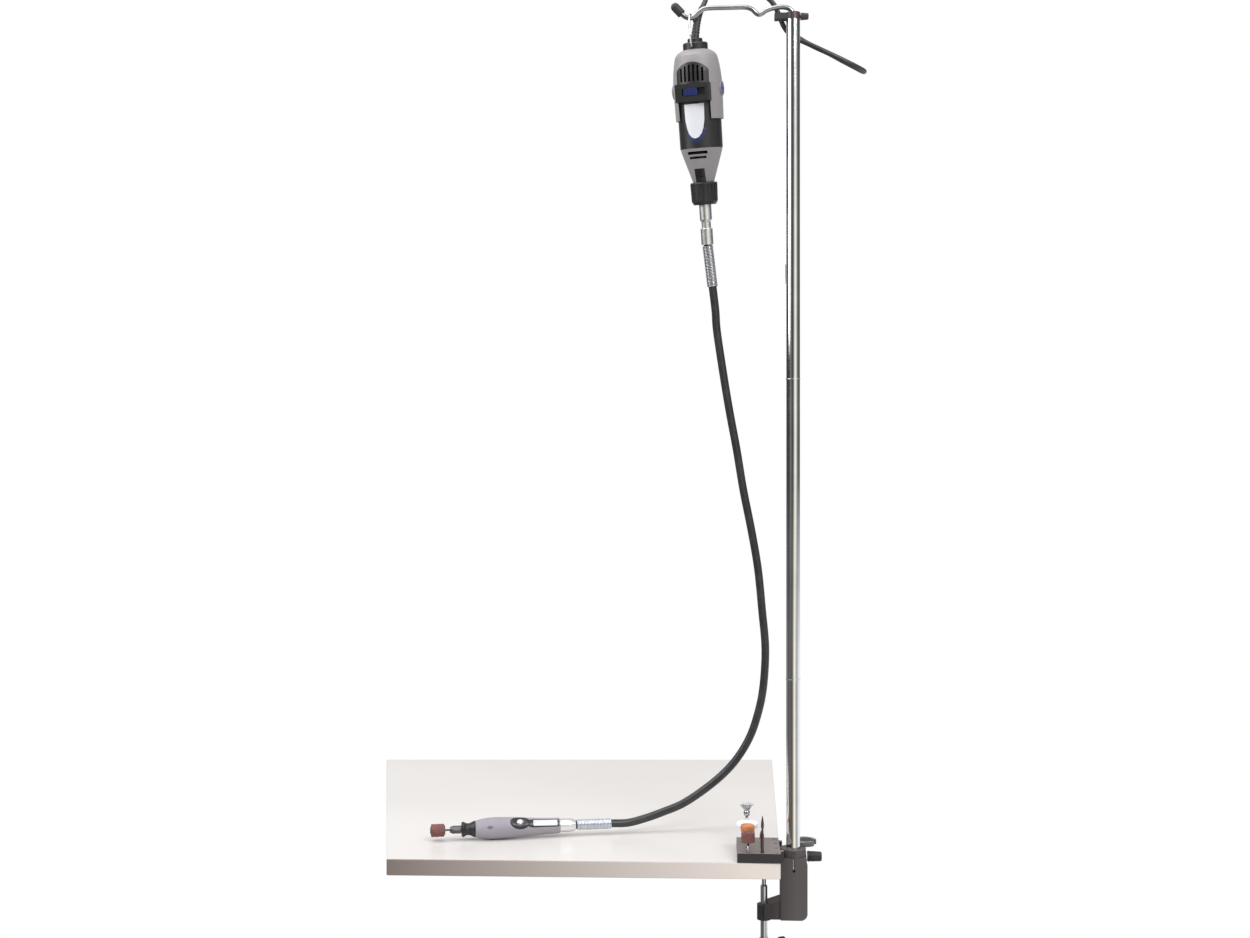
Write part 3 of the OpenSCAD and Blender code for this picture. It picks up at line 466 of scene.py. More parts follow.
def add_tube(bm, points, radii, sides):
    """Adds a round tube with closed ends along points, in the points' own unit."""
    count = len(points)
    if not isinstance(radii, (list, tuple)):
        radii = [radii] * count
    across = None
    rings = []
    for i, at in enumerate(points):
        ahead = (points[min(i + 1, count - 1)] - points[max(i - 1, 0)]).normalized()
        if across is None:
            across = side_of(ahead)
        else:
            across = (across - across.dot(ahead) * ahead).normalized()
        up = ahead.cross(across)
        rings.append([
            bm.verts.new(at + radii[i] * (math.cos(a) * across + math.sin(a) * up))
            for a in (2 * math.pi * k / sides for k in range(sides))
        ])
    for low, high in zip(rings, rings[1:]):
        for k in range(sides):
            n = (k + 1) % sides
            bm.faces.new((low[k], low[n], high[n], high[k]))
    bm.faces.new(rings[0][::-1])
    bm.faces.new(rings[-1])


def tube(name, points, radii, sides):
    """A tube's mesh along points in millimetres."""
    bm = bmesh.new()
    add_tube(bm, [Vector(p) for p in points], radii, sides)
    bm.transform(TO_METRES)
    return to_mesh(name, bm)


def add_lathe(bm, outline, sides, place):
    """Adds a turned form: outline holds radius and height, place is its matrix."""
    rings = []
    for radius, height in outline:
        if radius < 1e-6:
            rings.append([bm.verts.new(place @ Vector((0, 0, height)))])
        else:
            rings.append([
                bm.verts.new(place @ Vector((radius * math.cos(a), radius * math.sin(a), height)))
                for a in (2 * math.pi * k / sides for k in range(sides))
            ])
    for low, high in zip(rings, rings[1:]):
        for k in range(sides):
            n = (k + 1) % sides
            if len(low) == 1:
                bm.faces.new((low[0], high[n], high[k]))
            elif len(high) == 1:
                bm.faces.new((low[k], low[n], high[0]))
            else:
                bm.faces.new((low[k], low[n], high[n], high[k]))


def soften(outline, steps):
    """The same outline with its corners drawn round."""
    made = []
    for i, (r, z) in enumerate(outline):
        if i in (0, len(outline) - 1):
            made.append((r, z))
            continue
        (r0, z0), (r1, z1) = outline[i - 1], outline[i + 1]
        for k in range(steps + 1):
            u = k / steps
            a, b, c = (1 - u) ** 2, 2 * u * (1 - u), u * u
            made.append((a * (r * 0.7 + r0 * 0.3) + b * r + c * (r * 0.7 + r1 * 0.3),
                         a * (z * 0.7 + z0 * 0.3) + b * z + c * (z * 0.7 + z1 * 0.3)))
    return made


def lathe(name, outline, sides, place, rough=0.0, cell=1.0):
    """A turned mesh in millimetres; rough moves its skin in and out by so much."""
    bm = bmesh.new()
    add_lathe(bm, outline, sides, Matrix.Identity(4))
    if rough:
        for v in bm.verts:
            away = Vector((v.co.x, v.co.y, 0))
            if away.length > 0.5:
                v.co += away.normalized() * rough * noise.noise(v.co / cell)
    bm.transform(place)
    bm.transform(TO_METRES)
    return to_mesh(name, bm)


COIL_POINTS = 14


def spiral(a, b, turns, radius, wire):
    """Points of a close coil from a to b, with COIL_POINTS to a turn."""
    a, b = Vector(a), Vector(b)
    axis = (b - a).normalized()
    side = side_of(axis)
    up = axis.cross(side)
    long = (b - a).length - 2 * wire
    steps = int(COIL_POINTS * turns)
    return [
        a + axis * (wire + long * i / steps) + radius * (math.cos(f) * side + math.sin(f) * up)
        for i, f in ((i, 2 * math.pi * i / COIL_POINTS) for i in range(steps + 1))
    ]


PATCH_COLUMNS = 12


def wrapped_patch(name, place, radius_at, outline, lift, steps):
    """A thin skin that follows a turned surface.

    outline holds angles in degrees and heights along the axis; its edges sink into the surface."""
    bm = bmesh.new()
    low = min(z for _, z in outline)
    high = max(z for _, z in outline)

    def reach(z):
        cuts = []
        for (a0, z0), (a1, z1) in zip(outline, outline[1:] + outline[:1]):
            if (z0 - z) * (z1 - z) <= 0 and z0 != z1:
                cuts.append(a0 + (a1 - a0) * (z - z0) / (z1 - z0))
        return min(cuts), max(cuts)

    rows = []
    for i in range(steps + 1):
        z = low + (high - low) * (0.002 + 0.996 * i / steps)
        left, right = reach(z)
        row = []
        for k in range(PATCH_COLUMNS + 1):
            a = math.radians(left + (right - left) * k / PATCH_COLUMNS)
            from_side = min(k, PATCH_COLUMNS - k) / PATCH_COLUMNS
            edge = min(1.0, 4 * from_side, 6 * min(i, steps - i) / steps)
            r = radius_at(z) + lift * (0.15 + 0.85 * math.sqrt(max(edge, 0)))
            row.append(bm.verts.new(place @ Vector((r * math.cos(a), r * math.sin(a), z))))
        rows.append(row)
    for low_row, high_row in zip(rows, rows[1:]):
        for k in range(PATCH_COLUMNS):
            bm.faces.new((low_row[k], low_row[k + 1], high_row[k + 1], high_row[k]))
    bm.transform(TO_METRES)
    return to_mesh(name, bm)


def radius_on(line, z):
    """Radius of a turned outline at height z."""
    for (r0, z0), (r1, z1) in zip(line, line[1:]):
        if min(z0, z1) <= z <= max(z0, z1):
            return r0 + (r1 - r0) * (z - z0) / (z1 - z0)
    return line[0][0] if abs(z - line[0][1]) < abs(z - line[-1][1]) else line[-1][0]


def radius_of(diameter):
    """Half of a diameter, from metres to millimetres."""
    return diameter * MM_PER_M / 2


def length_of(points):
    return sum((b - a).length for a, b in zip(points, points[1:]))


# ---- the stage ----


# the lights and screens round the bench, as bearing, brightness and warmth,
# for rays that go down, level and up
STUDIO = (
    [(0.0, 0.3, 0), (0.164, 0.29, 0), (0.24, 0.11, 0), (0.351, 0.155, 0), (0.446, 0.1, 0.4),
     (0.49, 0.42, 0.1), (0.535, 1.1, 0.12), (0.58, 1.02, 0.12), (0.628, 0.47, 0), (0.678, 0.44, 0),
     (0.734, 0.9, -0.04), (0.80, 1.1, -0.06), (0.90, 1.1, -0.06), (1.0, 0.3, 0)],
    [(0.0, 0.7, 0), (0.085, 0.62, 0), (0.12, 0.06, 0), (0.30, 0.05, 0), (0.335, 0.09, 0), (0.374, 0.25, 0),
     (0.42, 0.13, 0), (0.47, 0.055, 0), (0.514, 0.22, 0.05), (0.56, 0.9, 0.12), (0.60, 1.2, 0.12),
     (0.65, 0.64, 0.08), (0.71, 0.18, 0), (0.77, 0.1, 0), (0.88, 0.12, 0), (0.915, 0.62, 0), (1.0, 0.7, 0)],
    [(0.0, 0.7, 0), (0.085, 0.62, 0), (0.12, 0.135, 0), (0.227, 0.23, 0), (0.285, 0.87, -0.06),
     (0.338, 0.95, -0.06), (0.387, 0.49, -0.05), (0.433, 0.135, 0), (0.478, 0.044, -0.3), (0.522, 0.19, 0),
     (0.567, 0.86, 0.06), (0.613, 1.05, 0.06), (0.66, 0.48, 0), (0.715, 0.105, 0), (0.775, 0.09, 0),
     (0.88, 0.14, 0), (0.915, 0.62, 0), (1.0, 0.7, 0)],
)


class TOOL_OT_stage(bpy.types.Operator):
    """Makes the bench board, the white surroundings, the lamps and the camera"""
    bl_idname = "tool.stage"
    bl_label = "Bench, light and camera"

    def execute(self, context):
        scene = context.scene
        scene.view_settings.view_transform = "Standard"
        camera = bpy.data.objects.new("camera", bpy.data.cameras.new("camera"))
        camera.location = (-0.057, -1.689, 0.444)
        camera.rotation_euler = (math.radians(90), 0, math.radians(3.5))
        camera.data.lens = 42.08
        camera.data.sensor_width = 36
        camera.data.clip_end = 50
        scene.collection.objects.link(camera)
        scene.camera = camera

        bm = bmesh.new()
        corners = [(-0.4293, -0.0463), (0.0175, -0.0359), (0.0306, 0.5525), (-0.557, 0.517)]
        face = bm.faces.new([bm.verts.new((x, y, 0)) for x, y in corners])
        out = bmesh.ops.extrude_face_region(bm, geom=[face])
        for v in (g for g in out["geom"] if isinstance(g, bmesh.types.BMVert)):
            v.co.z -= sizes().board
        bmesh.ops.bevel(bm, geom=bm.edges[:], offset=0.0006, segments=2, affect="EDGES")
        # the board's cut edge runs from painted shade at its left end to painted light at its right
        board = mesh_object(
            "bench_board", to_mesh("bench_board", bm),
            laminate("pale laminate", colours().board, (0.235, 0.185, 0.165), (0.86, 0.77, 0.7)), None,
            smooth=False)

        world = scene.world or bpy.data.worlds.new("studio")
        scene.world = world
        net = Net(world)
        direct, through, glossy = (
            net.node("ShaderNodeLightPath", {}, {}, f"Is {kind} Ray")
            for kind in ("Camera", "Transmission", "Glossy"))
        ray = net.node("ShaderNodeTexCoord", {}, {}, "Generated")
        x, y, z = (net.node("ShaderNodeSeparateXYZ", {}, {"Vector": ray}, n) for n in "XYZ")
        bearing = net.node("ShaderNodeMath", {"operation": "ARCTAN2"}, {0: x, 1: -1 * y})
        turn = net.band(bearing, -math.pi, math.pi)
        low, middle, high = (net.node("ShaderNodeValToRGB", {"stops": [
            (place, tone_to(light, tint)) for place, light, tint in stops]}, {0: turn}) for stops in STUDIO)
        studio = net.mix(net.band(z, -0.14, 0.0), low, middle)
        studio = net.mix(net.band(z, 0.08, 0.24), studio, high)
        studio = net.mix(net.band(z, 0.4, 0.6), studio, (0.72, 0.73, 0.75))
        seen = direct + through
        shade = net.mix(glossy, (0.62, 0.63, 0.65), studio)
        shade = net.mix(seen, shade, (1.0, 1.0, 1.0))
        background = net.node("ShaderNodeBackground", {}, {"Color": shade, "Strength": 1.0})
        net.tree.links.new(background.socket, net.tree.nodes.new("ShaderNodeOutputWorld").inputs["Surface"])

        for name, at, size, power in (
                ("key lamp", (0.9, -1.5, 1.9), 0.9, 26), ("top lamp", (-0.5, -0.2, 2.1), 1.2, 14),
                ("side lamp", (-1.3, -0.5, 1.1), 0.8, 9)):
            lamp = bpy.data.lights.new(name, "AREA")
            lamp.energy = power
            lamp.size = size
            obj = bpy.data.objects.new(name, lamp)
            obj.location = at
            obj.rotation_euler = (Vector((-0.05, 0, 0.45)) - Vector(at)).to_track_quat("-Z", "Y").to_euler()
            scene.collection.objects.link(obj)
        return {"FINISHED"}


# ---- cords ----


def hank_line():
    """The hank's loops, as in the part: down the front run, round, up the back run and round again."""
    turns, step, layer, run, width = 3.3, 7.3, 7.2, 100, 40
    middle = turns / 2
    outer = width + 2 * step * middle
    at = Vector((MAST_X + 1.9, 22 + outer / 2, 745 - 20 - run / 2))
    yaw = math.radians(-3)

    def smooth(t):
        u = min(max(t, 0), 1)
        return u * u * (3 - 2 * u)

    # shares of a turn at the ends of the front run, the lower bend and the back run
    front, bottom, back = 0.3, 0.5, 0.8
    # degrees for each share of a turn, in a half circle that takes a fifth of it
    bend = 900
    per_turn = 40
    points = []
    for i in range(round(turns * per_turn) + 1):
        t = min(i / per_turn, turns)
        f, w, h = t - math.floor(t), width + 2 * step * abs(t - middle), run / 2
        x = layer * (smooth((t - middle) / 0.3 + 0.5) - 0.5)
        if f < front:
            z = h - run * f / front
        elif f < bottom:
            z = -h - w / 2 * math.sin(math.radians(bend * (f - front)))
        elif f < back:
            z = -h + run * (f - bottom) / front
        else:
            z = h + w / 2 * math.sin(math.radians(bend * (f - back)))
        waist = 2.4 * max(math.cos(math.pi / 2 * z / h), 0) ** 2 if abs(z) < h else 0
        if f < front:
            y = waist - w / 2
        elif f < bottom:
            y = -w / 2 * math.cos(math.radians(bend * (f - front)))
        elif f < back:
            y = w / 2 - waist
        else:
            y = w / 2 * math.cos(math.radians(bend * (f - back)))
        points.append(at + Vector((
            x * math.cos(yaw) - y * math.sin(yaw), x * math.sin(yaw) + y * math.cos(yaw), z)))
    return points


class TOOL_OT_mains_cord(bpy.types.Operator):
    """Makes the mains cord, from the boot over the rod and down into its hank, and the ribbed boot"""
    bl_idname = "tool.mains_cord"
    bl_label = "Mains cord and boot"

    def execute(self, context):
        hank = hank_line()
        before, end = curve(BOOT_ROUTE, 2)[-2:]
        ahead = (end - before).normalized()
        start = [end + s * ahead for s in (0.1, 4, 8)]
        line = curve([*start, *CORD_ROUTE], 6)[:-1]
        line += curve([CORD_ROUTE[-1], hank[0] + Vector((0, 0, 10)), hank[0]], 2)[:-1]
        line += hank + [hank[-1] - Vector((0, 0, 7)), hank[-1] - Vector((0, 0, 14))]
        black = rubber_line("cord rubber", colours().cord, 0.34)
        cord = mesh_object(
            "mains_cord_line", tube("mains_cord_line", line, radius_of(sizes().cord), 12), black, None)
        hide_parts("mains_cord", "cord_hank")
        line[0] / MM_PER_M
        length_of(line) / MM_PER_M
        [p / MM_PER_M for p in line]
        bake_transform(cord)

        route = curve(BOOT_ROUTE, 14)
        foot_radius, taper, rib_height = 4.5, 1.2, 0.45
        radii = []
        for i in range(len(route)):
            share = i / (len(route) - 1)
            rib = rib_height if (i % 5) in (1, 2) and 0.12 < share < 0.95 else 0.0
            radii.append(foot_radius - taper * share + rib * (1 - 0.5 * share))
        boot = mesh_object(
            "boot_ribbed", tube("boot_ribbed", route, radii, 20),
            rubber_line("boot rubber", tone(colours().cord, 0.8), 0.4), None)
        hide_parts("cord_boot")
        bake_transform(boot)
        return {"FINISHED"}


class TOOL_OT_flex_shaft(bpy.types.Operator):
    """Makes the flex shaft's sheath, the core that turns in it and the close springs at its two ends"""
    bl_idname = "tool.flex_shaft"
    bl_label = "Flex shaft"

    def execute(self, context):
        head = MOTOR @ Vector((0, 0, SLEEVE_END))
        along = (SPRING_FOOT - head).normalized()
        tail = [GRIP @ Vector((0, 0, s)) for s in (-20, 0, 22, SPRING_END)]
        line = curve([head - 7 * along, (head + SPRING_FOOT) / 2, SPRING_FOOT, SPRING_FOOT + 28 * along,
                      *FLEX_ROUTE, *tail], 6)
        sheath = mesh_object(
            "sheath_line", tube("sheath_line", line, radius_of(sizes().sheath), 24),
            rubber_line("sheath rubber", colours().cord, 0.28), None)
        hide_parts("flex_sheath")
        inside = [MOTOR @ Vector((0, 0, s)) for s in CORE_HEAD] + line[1:]
        inside.append(GRIP @ Vector((0, 0, CORE_END)))
        core = mesh_object(
            "core_line", tube("core_line", inside, CORE_RADIUS, 12),
            finish("wound steel", (0.09, 0.088, 0.085), 0.4, 0.9, 900, 0.0001, stretch=(3, 3, 0.3)), None)
        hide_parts("flex_core")
        line[0] / MM_PER_M
        length_of(line) / MM_PER_M
        [p / MM_PER_M for p in line]
        for soft in (sheath, core):
            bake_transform(soft)

        steel = plated("spring steel", tone(colours().zinc, 0.85), 0.34)
        # the lower spring takes a paler, bluer copy of the same spring steel: painted light where it lies
        # flat under the lamps
        pale = plated("spring steel with painted highlight", (0.8, 0.84, 0.9), 0.42)
        wire, pitch = sizes().spring_wire * MM_PER_M, sizes().spring_pitch * MM_PER_M
        radius = (sizes().spring * MM_PER_M - wire) / 2
        for name, node, body, a, b, material in (
                ("spring_upper_coil", "upper_spring", "motor", head, SPRING_FOOT, steel),
                ("spring_lower_coil", "lower_spring", "handpiece", tail[1], tail[3], pale)):
            turns = round(((b - a).length - 2 * wire) / pitch)
            coil = mesh_object(
                name, tube(name, spiral(a, b, turns, radius, wire), wire / 2, 7), material, body)
            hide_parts(node)
        return {"FINISHED"}


# ---- stand and hanger ----


class TOOL_OT_hanger(bpy.types.Operator):
    """Makes the bent hanger rod and the motor's wire bail"""
    bl_idname = "tool.hanger"
    bl_label = "Hanger rod and bail"

    def execute(self, context):
        zinc = plated("zinc wire", colours().zinc, 0.26, (1, 1, 1), 700)
        dull = plated("rod wire", tone(colours().zinc, 0.62), 0.26, (1, 1, 1), 700)
        rod = mesh_object(
            "rod_bent", tube("rod_bent", curve(ROD_ROUTE, 6), radius_of(sizes().rod), 24), dull, "hanger")
        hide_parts("hanger_rod")
        route = BAIL_SIDE + [(-6.4, 0, 37.7)] + [(x, -y, z) for x, y, z in BAIL_SIDE[::-1]]
        line = [FEET @ p for p in curve(route, 6)]
        wire = mesh_object(
            "bail_wire", tube("bail_wire", line, radius_of(sizes().bail), 14), zinc, "bail")
        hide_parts("bail")
        return {"FINISHED"}


# ---- motor and handpiece trim ----

BARREL = [(25.2, -67.5), (24.9, -119.8)]
GRIP_LINE = [
    (8.8, 64.2), (9.3, 66), (9.6, 80), (10.3, 95), (11.5, 112), (12.5, 128), (12.9, 140),
    (12.6, 150), (11.4, 159), (9.7, 166),
]


class TOOL_OT_motor_trim(bpy.types.Operator):
    """Makes the plain blue rim under the motor's bare label"""
    bl_idname = "tool.motor_trim"
    bl_label = "Motor trim"

    def execute(self, context):
        rim = [
            (-120, -90), (-116, -100), (-110, -107.5), (-102, -112.5), (-92, -114.5), (-80, -113),
            (-68, -107.5), (-60, -98), (-64, -98), (-71, -104), (-80, -108.4), (-90, -109.2), (-100, -107.4),
            (-107, -102.6), (-112, -97), (-116, -90),
        ]
        blue = finish("label blue", (0.014, 0.02, 0.085), 0.4, grain=1200)
        mesh_object(
            "label_rim", wrapped_patch(
                "label_rim", MOTOR, lambda z: radius_on(BARREL, z), rim, 0.35, 30),
            blue, "motor")
        return {"FINISHED"}


class TOOL_OT_grip_trim(bpy.types.Operator):
    """Makes the grip's black inlay round its button, the strip under its label and a painted shade patch
    over its oval dimple
    """
    bl_idname = "tool.grip_trim"
    bl_label = "Grip trim"

    def execute(self, context):
        black = finish("inlay black", (0.016, 0.016, 0.018), 0.32, grain=1500, depth=0.00005)
        bm = bmesh.new()
        rings, steps = [], 36
        profile = ((3.62, -0.5), (4.6, 0.28), (6.4, 0.36), (8.6, 0.36), (10.0, 0.3), (10.6, -0.15))
        for k in range(steps):
            a = 2 * math.pi * k / steps
            ring = []
            for size, lift in profile:
                s = 113 + size * math.sin(a) * (1.0 if size < 5 else 1.15)
                r = radius_on(GRIP_LINE, s)
                turn = math.radians(135) + size * math.cos(a) * (1.0 if size < 5 else 0.86) / r
                out = r + lift
                ring.append(bm.verts.new(GRIP @ Vector((out * math.cos(turn), out * math.sin(turn), s))))
            rings.append(ring)
        for low, high in zip(rings, rings[1:] + rings[:1]):
            for i in range(len(profile) - 1):
                bm.faces.new((low[i], low[i + 1], high[i + 1], high[i]))
        bm.transform(TO_METRES)
        mesh_object("grip_inlay", to_mesh("grip_inlay", bm), black, "handpiece")
        strip = [(97, 67), (99, 65.5), (157, 65.5), (159, 67), (158, 98), (151, 103), (105, 103), (98, 98)]
        turns = [math.pi * k / 10 for k in range(20)]
        # a darker skin over the grip's shallow oval dimple: painted shade in the recess
        oval = [(108 + 9 * math.cos(a), 149 + 3.6 * math.sin(a)) for a in turns]
        shade = finish("dimple painted shade grey", tone(colours().grip, 0.5), 0.6, grain=1500, depth=0.00005)
        for name, outline, lift, steps, material, slot in (
                ("grip_strip", strip, 0.18, 30, black, "black_plastic"),
                ("grip_dimple_painted_shade", oval, 0.12, 16, shade, "grip_grey")):
            patch = wrapped_patch(name, GRIP, lambda z: radius_on(GRIP_LINE, z), outline, lift, steps)
            mesh_object(name, patch, material, "handpiece")
        return {"FINISHED"}


# ---- accessories ----


class TOOL_OT_accessories(bpy.types.Operator):
    """Makes the abrasives, the felt and the cup brush with their real surfaces"""
    bl_idname = "tool.accessories"
    bl_label = "Accessories"

    def execute(self, context):
        steel = plated("shank steel", (0.5, 0.5, 0.52), 0.25)
        red = grit("red abrasive", colours().grit, tone(colours().grit, 0.45), (0.34, 0.15, 0.13), 2600.0)
        orange = grit("orange abrasive", colours().stone, (0.55, 0.12, 0.03), (0.9, 0.42, 0.2), 1800.0)
        wool = felt("white felt", colours().felt)

        def at(column, row):
            return Matrix.Translation((HOLE_X[column], HOLE_Y[row], 0))

        def make(name, outline, sides, place, material, body, node=None, rough=0.0, cell=1.0):
            obj = mesh_object(name, lathe(name, outline, sides, place, rough, cell), material, body)
            if node:
                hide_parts(node)
            return obj

        def shank(name, foot, top, place, body):
            outline = [(0, foot), (1.3, foot), (1.6, foot + 0.4), (1.6, top), (0, top)]
            return make(name, outline, 24, place, steel, body)

        radius = radius_of(sizes().drum)
        band = [(0, 202.9), (radius - 0.9, 202.9), (radius - 0.15, 203.2)]
        band += [(radius, 203.6 + 14.4 * i / 14) for i in range(15)]
        band += [(radius - 0.15, 218.3), (radius - 0.9, 218.6), (0, 218.6)]
        make("drum_sleeve", band, 48, GRIP, red, "spindle", "sanding_drum", 0.22, 0.8)

        place = at(2, 0)
        shank("spare_drum_shank", 1.6, 23, place, "spare_drum")
        band = [(0, 22), (6.7, 22), (7.5, 22.3)] + [(7.65, 22.7 + 9.8 * i / 12) for i in range(13)]
        band += [(7.5, 32.9), (6.7, 33.2), (0, 33.2)]
        make("spare_drum_sleeve", band, 44, place, red, "spare_drum", "spare_drum", 0.22, 0.8)

        place = at(2, 1)
        shank("stone_shank", 6.8, 29, place, "grinding_stone")
        band = [(0, 28.6), (7.1, 28.6), (7.7, 29.1)] + [(7.9, 29.6 + 6.2 * i / 8) for i in range(9)]
        band += [(7.7, 36.3), (7.1, 36.8), (0, 36.8)]
        make(
            "stone_wheel", band, 44, place, orange, "grinding_stone", "grinding_stone",
            0.25, 0.9)

        place = at(2, 2)
        shank("felt_shank", 6.8, 30, place, "felt_wheel")
        band = [(0, 29), (6, 29), (11.6, 29.1), (12.3, 29.6), (12.5, 30.6), (12.5, 32), (12.5, 33.2)]
        band += [(12.3, 34), (11.6, 34.5), (6, 34.6), (3.4, 34.5), (3.2, 35.3), (0, 35.4)]
        make(
            "felt_disc", soften(band, 3), 64, place, wool, "felt_wheel", "felt_wheel",
            0.5, 1.2)

        place = at(2, 3)
        shank("brush_shank", 1.6, 38.5, place, "wire_brush")
        cup = [(0, 37.6), (3.4, 37.6), (3.7, 38.1), (3.7, 42.2), (3.3, 42.8), (3.0, 43.6), (2.4, 43.7)]
        cup += [(0, 43.0)]
        make("brush_cup", cup, 32, place, steel, "wire_brush", "wire_brush")
        rng = random.Random(7)
        bm = bmesh.new()
        for i in range(sizes().bristles):
            turn = 2 * math.pi * i / sizes().bristles * 7 + rng.uniform(-0.1, 0.1)
            spread = 0.45 + 0.55 * ((i * 0.618) % 1)
            out = Vector((math.cos(turn), math.sin(turn), 0))
            line = [
                place @ (out * r * spread + Vector((0, 0, z)))
                for r, z in ((2.6, 42.8), (3.6, 44.8), (6.2 + rng.uniform(-0.4, 0.4), 48),
                             (8.7 + rng.uniform(-0.6, 0.1), 51 + rng.uniform(-0.7, 0.9)))
            ]
            add_tube(bm, curve(line, 2), 0.17, 5)
        bm.transform(TO_METRES)
        mesh_object(
            "brush_bristles", to_mesh("brush_bristles", bm), plated("bristle wire", (0.66, 0.66, 0.67), 0.3),
            "wire_brush")
        return {"FINISHED"}


# ---- finishes of the hard pieces ----


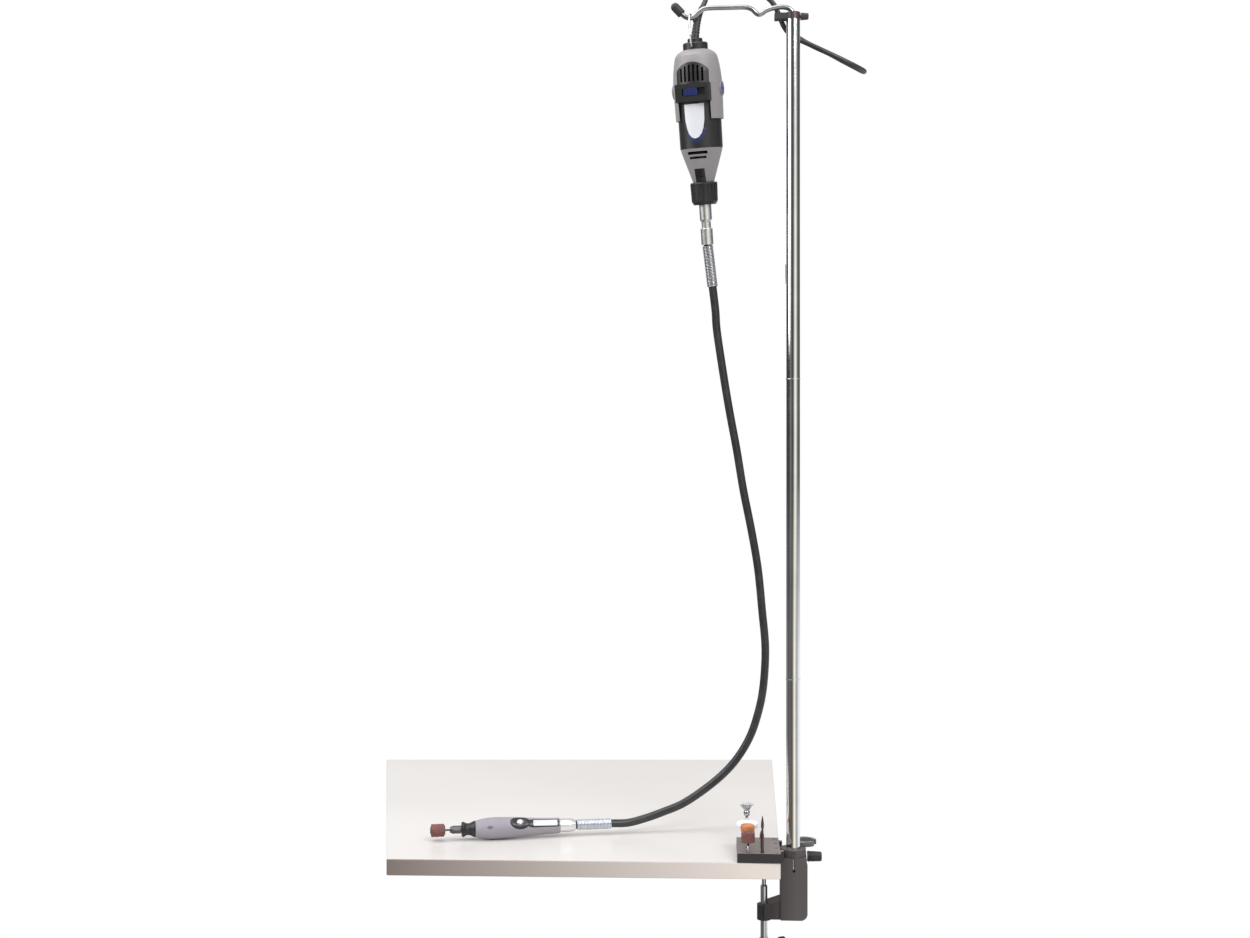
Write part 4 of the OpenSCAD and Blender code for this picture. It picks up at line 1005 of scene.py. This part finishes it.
class TOOL_OT_finishes(bpy.types.Operator):
    """Gives each hard piece its paint, plating or moulded plastic"""
    bl_idname = "tool.finishes"
    bl_label = "Finishes"

    def execute(self, context):
        tints = colours()
        black = finish("moulded black", tints.barrel, 0.4, grain=1400, depth=0.00006, mottle=0.15)
        cast = finish(
            "cast paint", tints.casting, 0.5, grain=900, depth=0.00003, mottle=0.05, cloud=45,
            stretch=(1, 1, 0.1), second=((0.1, 0.088, 0.085), 0.008, 0.036))
        # the black tray's top faces are painted lighter: painted light from above
        tray = finish(
            "tray black with painted lit top", (0.03, 0.028, 0.028), 0.42, grain=1100, depth=0.00002, mottle=0.06, cloud=60,
            top=(0.2, 0.165, 0.152))
        sheen = finish("ring grey", (0.16, 0.15, 0.148), 0.25, grain=1100, depth=0.00002, mottle=0.06)
        hub = finish(
            "hub black and brown", (0.022, 0.021, 0.021), 0.4, grain=700, depth=0.00004, mottle=0.1,
            second=((0.06, 0.036, 0.035), (MAST_X - 1.6) / MM_PER_M, (MAST_X - 1.4) / MM_PER_M))
        grey = finish("housing grey", tints.housing, 0.5, grain=1600, depth=0.00005, mottle=0.05)
        soft = finish(
            "soft touch grey", tints.grip, 0.62, grain=2000, depth=0.00005, mottle=0.05, sheen=0.15)
        blue = finish("cap blue", tints.blue, 0.32, grain=1200, depth=0.00003)
        dim = finish(
            "slider blue", tone(tints.blue, 0.6), 0.45, grain=500, depth=0.00012, mottle=0.3, cloud=400)
        white = finish("bare label", tints.label, 0.28, grain=1500, depth=0.00002, mottle=0.03, coat=0.3)
        chrome = plated("mast chrome", tints.chrome, 0.09, (1, 1, 0.02), 900, 0.0000008)
        ring = plated("bright ring", (0.92, 0.92, 0.92), 0.3)
        zinc = plated("zinc", tints.zinc, 0.28)
        satin = plated("satin sleeve", (0.82, 0.82, 0.83), 0.34, (1, 1, 0.05), 700)
        # dark steel of the spindle, screws, core and bit; on the motor's bearings it is partly their steel
        # and partly painted shade seen through the nose slots
        dark = plated("blued steel and painted slot shade", (0.13, 0.125, 0.13), 0.36)
        rubber = finish("rubber", (0.018, 0.018, 0.019), 0.55, grain=900, depth=0.0001)
        washer = finish("washer white", (0.8, 0.8, 0.79), 0.4, grain=1200, mottle=0.04)
        knob = finish("knob brown black", (0.05, 0.032, 0.032), 0.3, grain=1300, depth=0.00005)
        carbon = finish("carbon", (0.02, 0.02, 0.02), 0.6, grain=1800)
        iron = finish("laminated iron", (0.16, 0.14, 0.13), 0.5, 0.8, 900, 0.0002, stretch=(0.1, 0.1, 3))
        copper = winding("copper windings", (0.55, 0.24, 0.09), 0.828)
        brown = finish("rubber point brown", (0.2, 0.1, 0.065), 0.7, grain=700, depth=0.0002, mottle=0.2)
        worn = {
            "clamp_frame": cast, "bit_tray": tray, "tray_screws": zinc, "collar_screws": dark,
            "tool_ring": sheen, "clamp_pad": cast, "clamp_screw": zinc, "screw_bar": zinc,
            "bar_caps": rubber, "lock_washer": washer, "lock_knob": black, "mast_lower": chrome,
            "mast_middle": chrome, "mast_upper": chrome, "mast_sleeves": ring, "hub": hub,
            "hub_knob": knob, "hanger_rod": zinc, "rod_tip": rubber, "bail": zinc, "end_cap": black,
            "cord_boot": rubber, "housing_shell": grey, "motor_barrel": black, "grille": black,
            "switch_plate": black, "speed_slider": dim, "label_plate": white, "brush_caps": blue,
            # the motor's bearings take the dark steel partly as painted shade, so that the nose slots show
            # dark
            "carbon_brushes": carbon, "stator": iron, "rotor": copper, "motor_bearings": dark,
            "nose_cone": grey, "shaft_lock": black, "coupling_nut": black, "upper_ferrule": satin,
            "upper_spring": zinc, "flex_sheath": rubber, "flex_core": dark, "lower_spring": zinc,
            "lower_ferrule": satin, "grip": soft, "grip_nose": black, "grip_label": white,
            "grip_button": satin, "grip_bearings": zinc, "spindle": dark, "sanding_drum": rubber,
            "wire_brush": zinc, "felt_wheel": washer, "grinding_stone": brown, "spare_drum": rubber,
            "pointed_bit": dark, "polishing_point": brown, "mains_cord": rubber, "cord_hank": rubber,
            "cord_tie": rubber, "plug": black,
        }
        for name, obj in nodes.items():
            if name not in worn:
                raise RuntimeError(f"{name} has no finish")
            obj.data.materials.clear()
            obj.data.materials.append(worn[name])
        return {"FINISHED"}


# ---- add-on ----


class TOOL_PT_panel(bpy.types.Panel):
    """Lists the tool's pieces, sizes and colours"""
    bl_idname = "TOOL_PT_panel"
    bl_label = "Rotary tool"
    bl_space_type = "VIEW_3D"
    bl_region_type = "UI"
    bl_category = "Rotary tool"

    def draw(self, context):
        for step in STEPS:
            self.layout.operator(step.bl_idname)
        for group in (context.scene.tool_sizes, context.scene.tool_colours):
            box = self.layout.box()
            for name in group.__annotations__:
                box.prop(group, name)


STEPS = (
    TOOL_OT_stage, TOOL_OT_mains_cord, TOOL_OT_flex_shaft, TOOL_OT_hanger, TOOL_OT_motor_trim,
    TOOL_OT_grip_trim, TOOL_OT_accessories, TOOL_OT_finishes,
)
CLASSES = (ToolSizes, ToolColours, *STEPS, TOOL_PT_panel)


def register():
    for one in CLASSES:
        bpy.utils.register_class(one)
    bpy.types.Scene.tool_sizes = bpy.props.PointerProperty(type=ToolSizes)
    bpy.types.Scene.tool_colours = bpy.props.PointerProperty(type=ToolColours)


def unregister():
    del bpy.types.Scene.tool_colours
    del bpy.types.Scene.tool_sizes
    for one in reversed(CLASSES):
        bpy.utils.unregister_class(one)


def main():
    register()
    for step in STEPS:
        group, name = step.bl_idname.split(".")
        getattr(getattr(bpy.ops, group), name)()


if __name__ == "__main__":
    main()
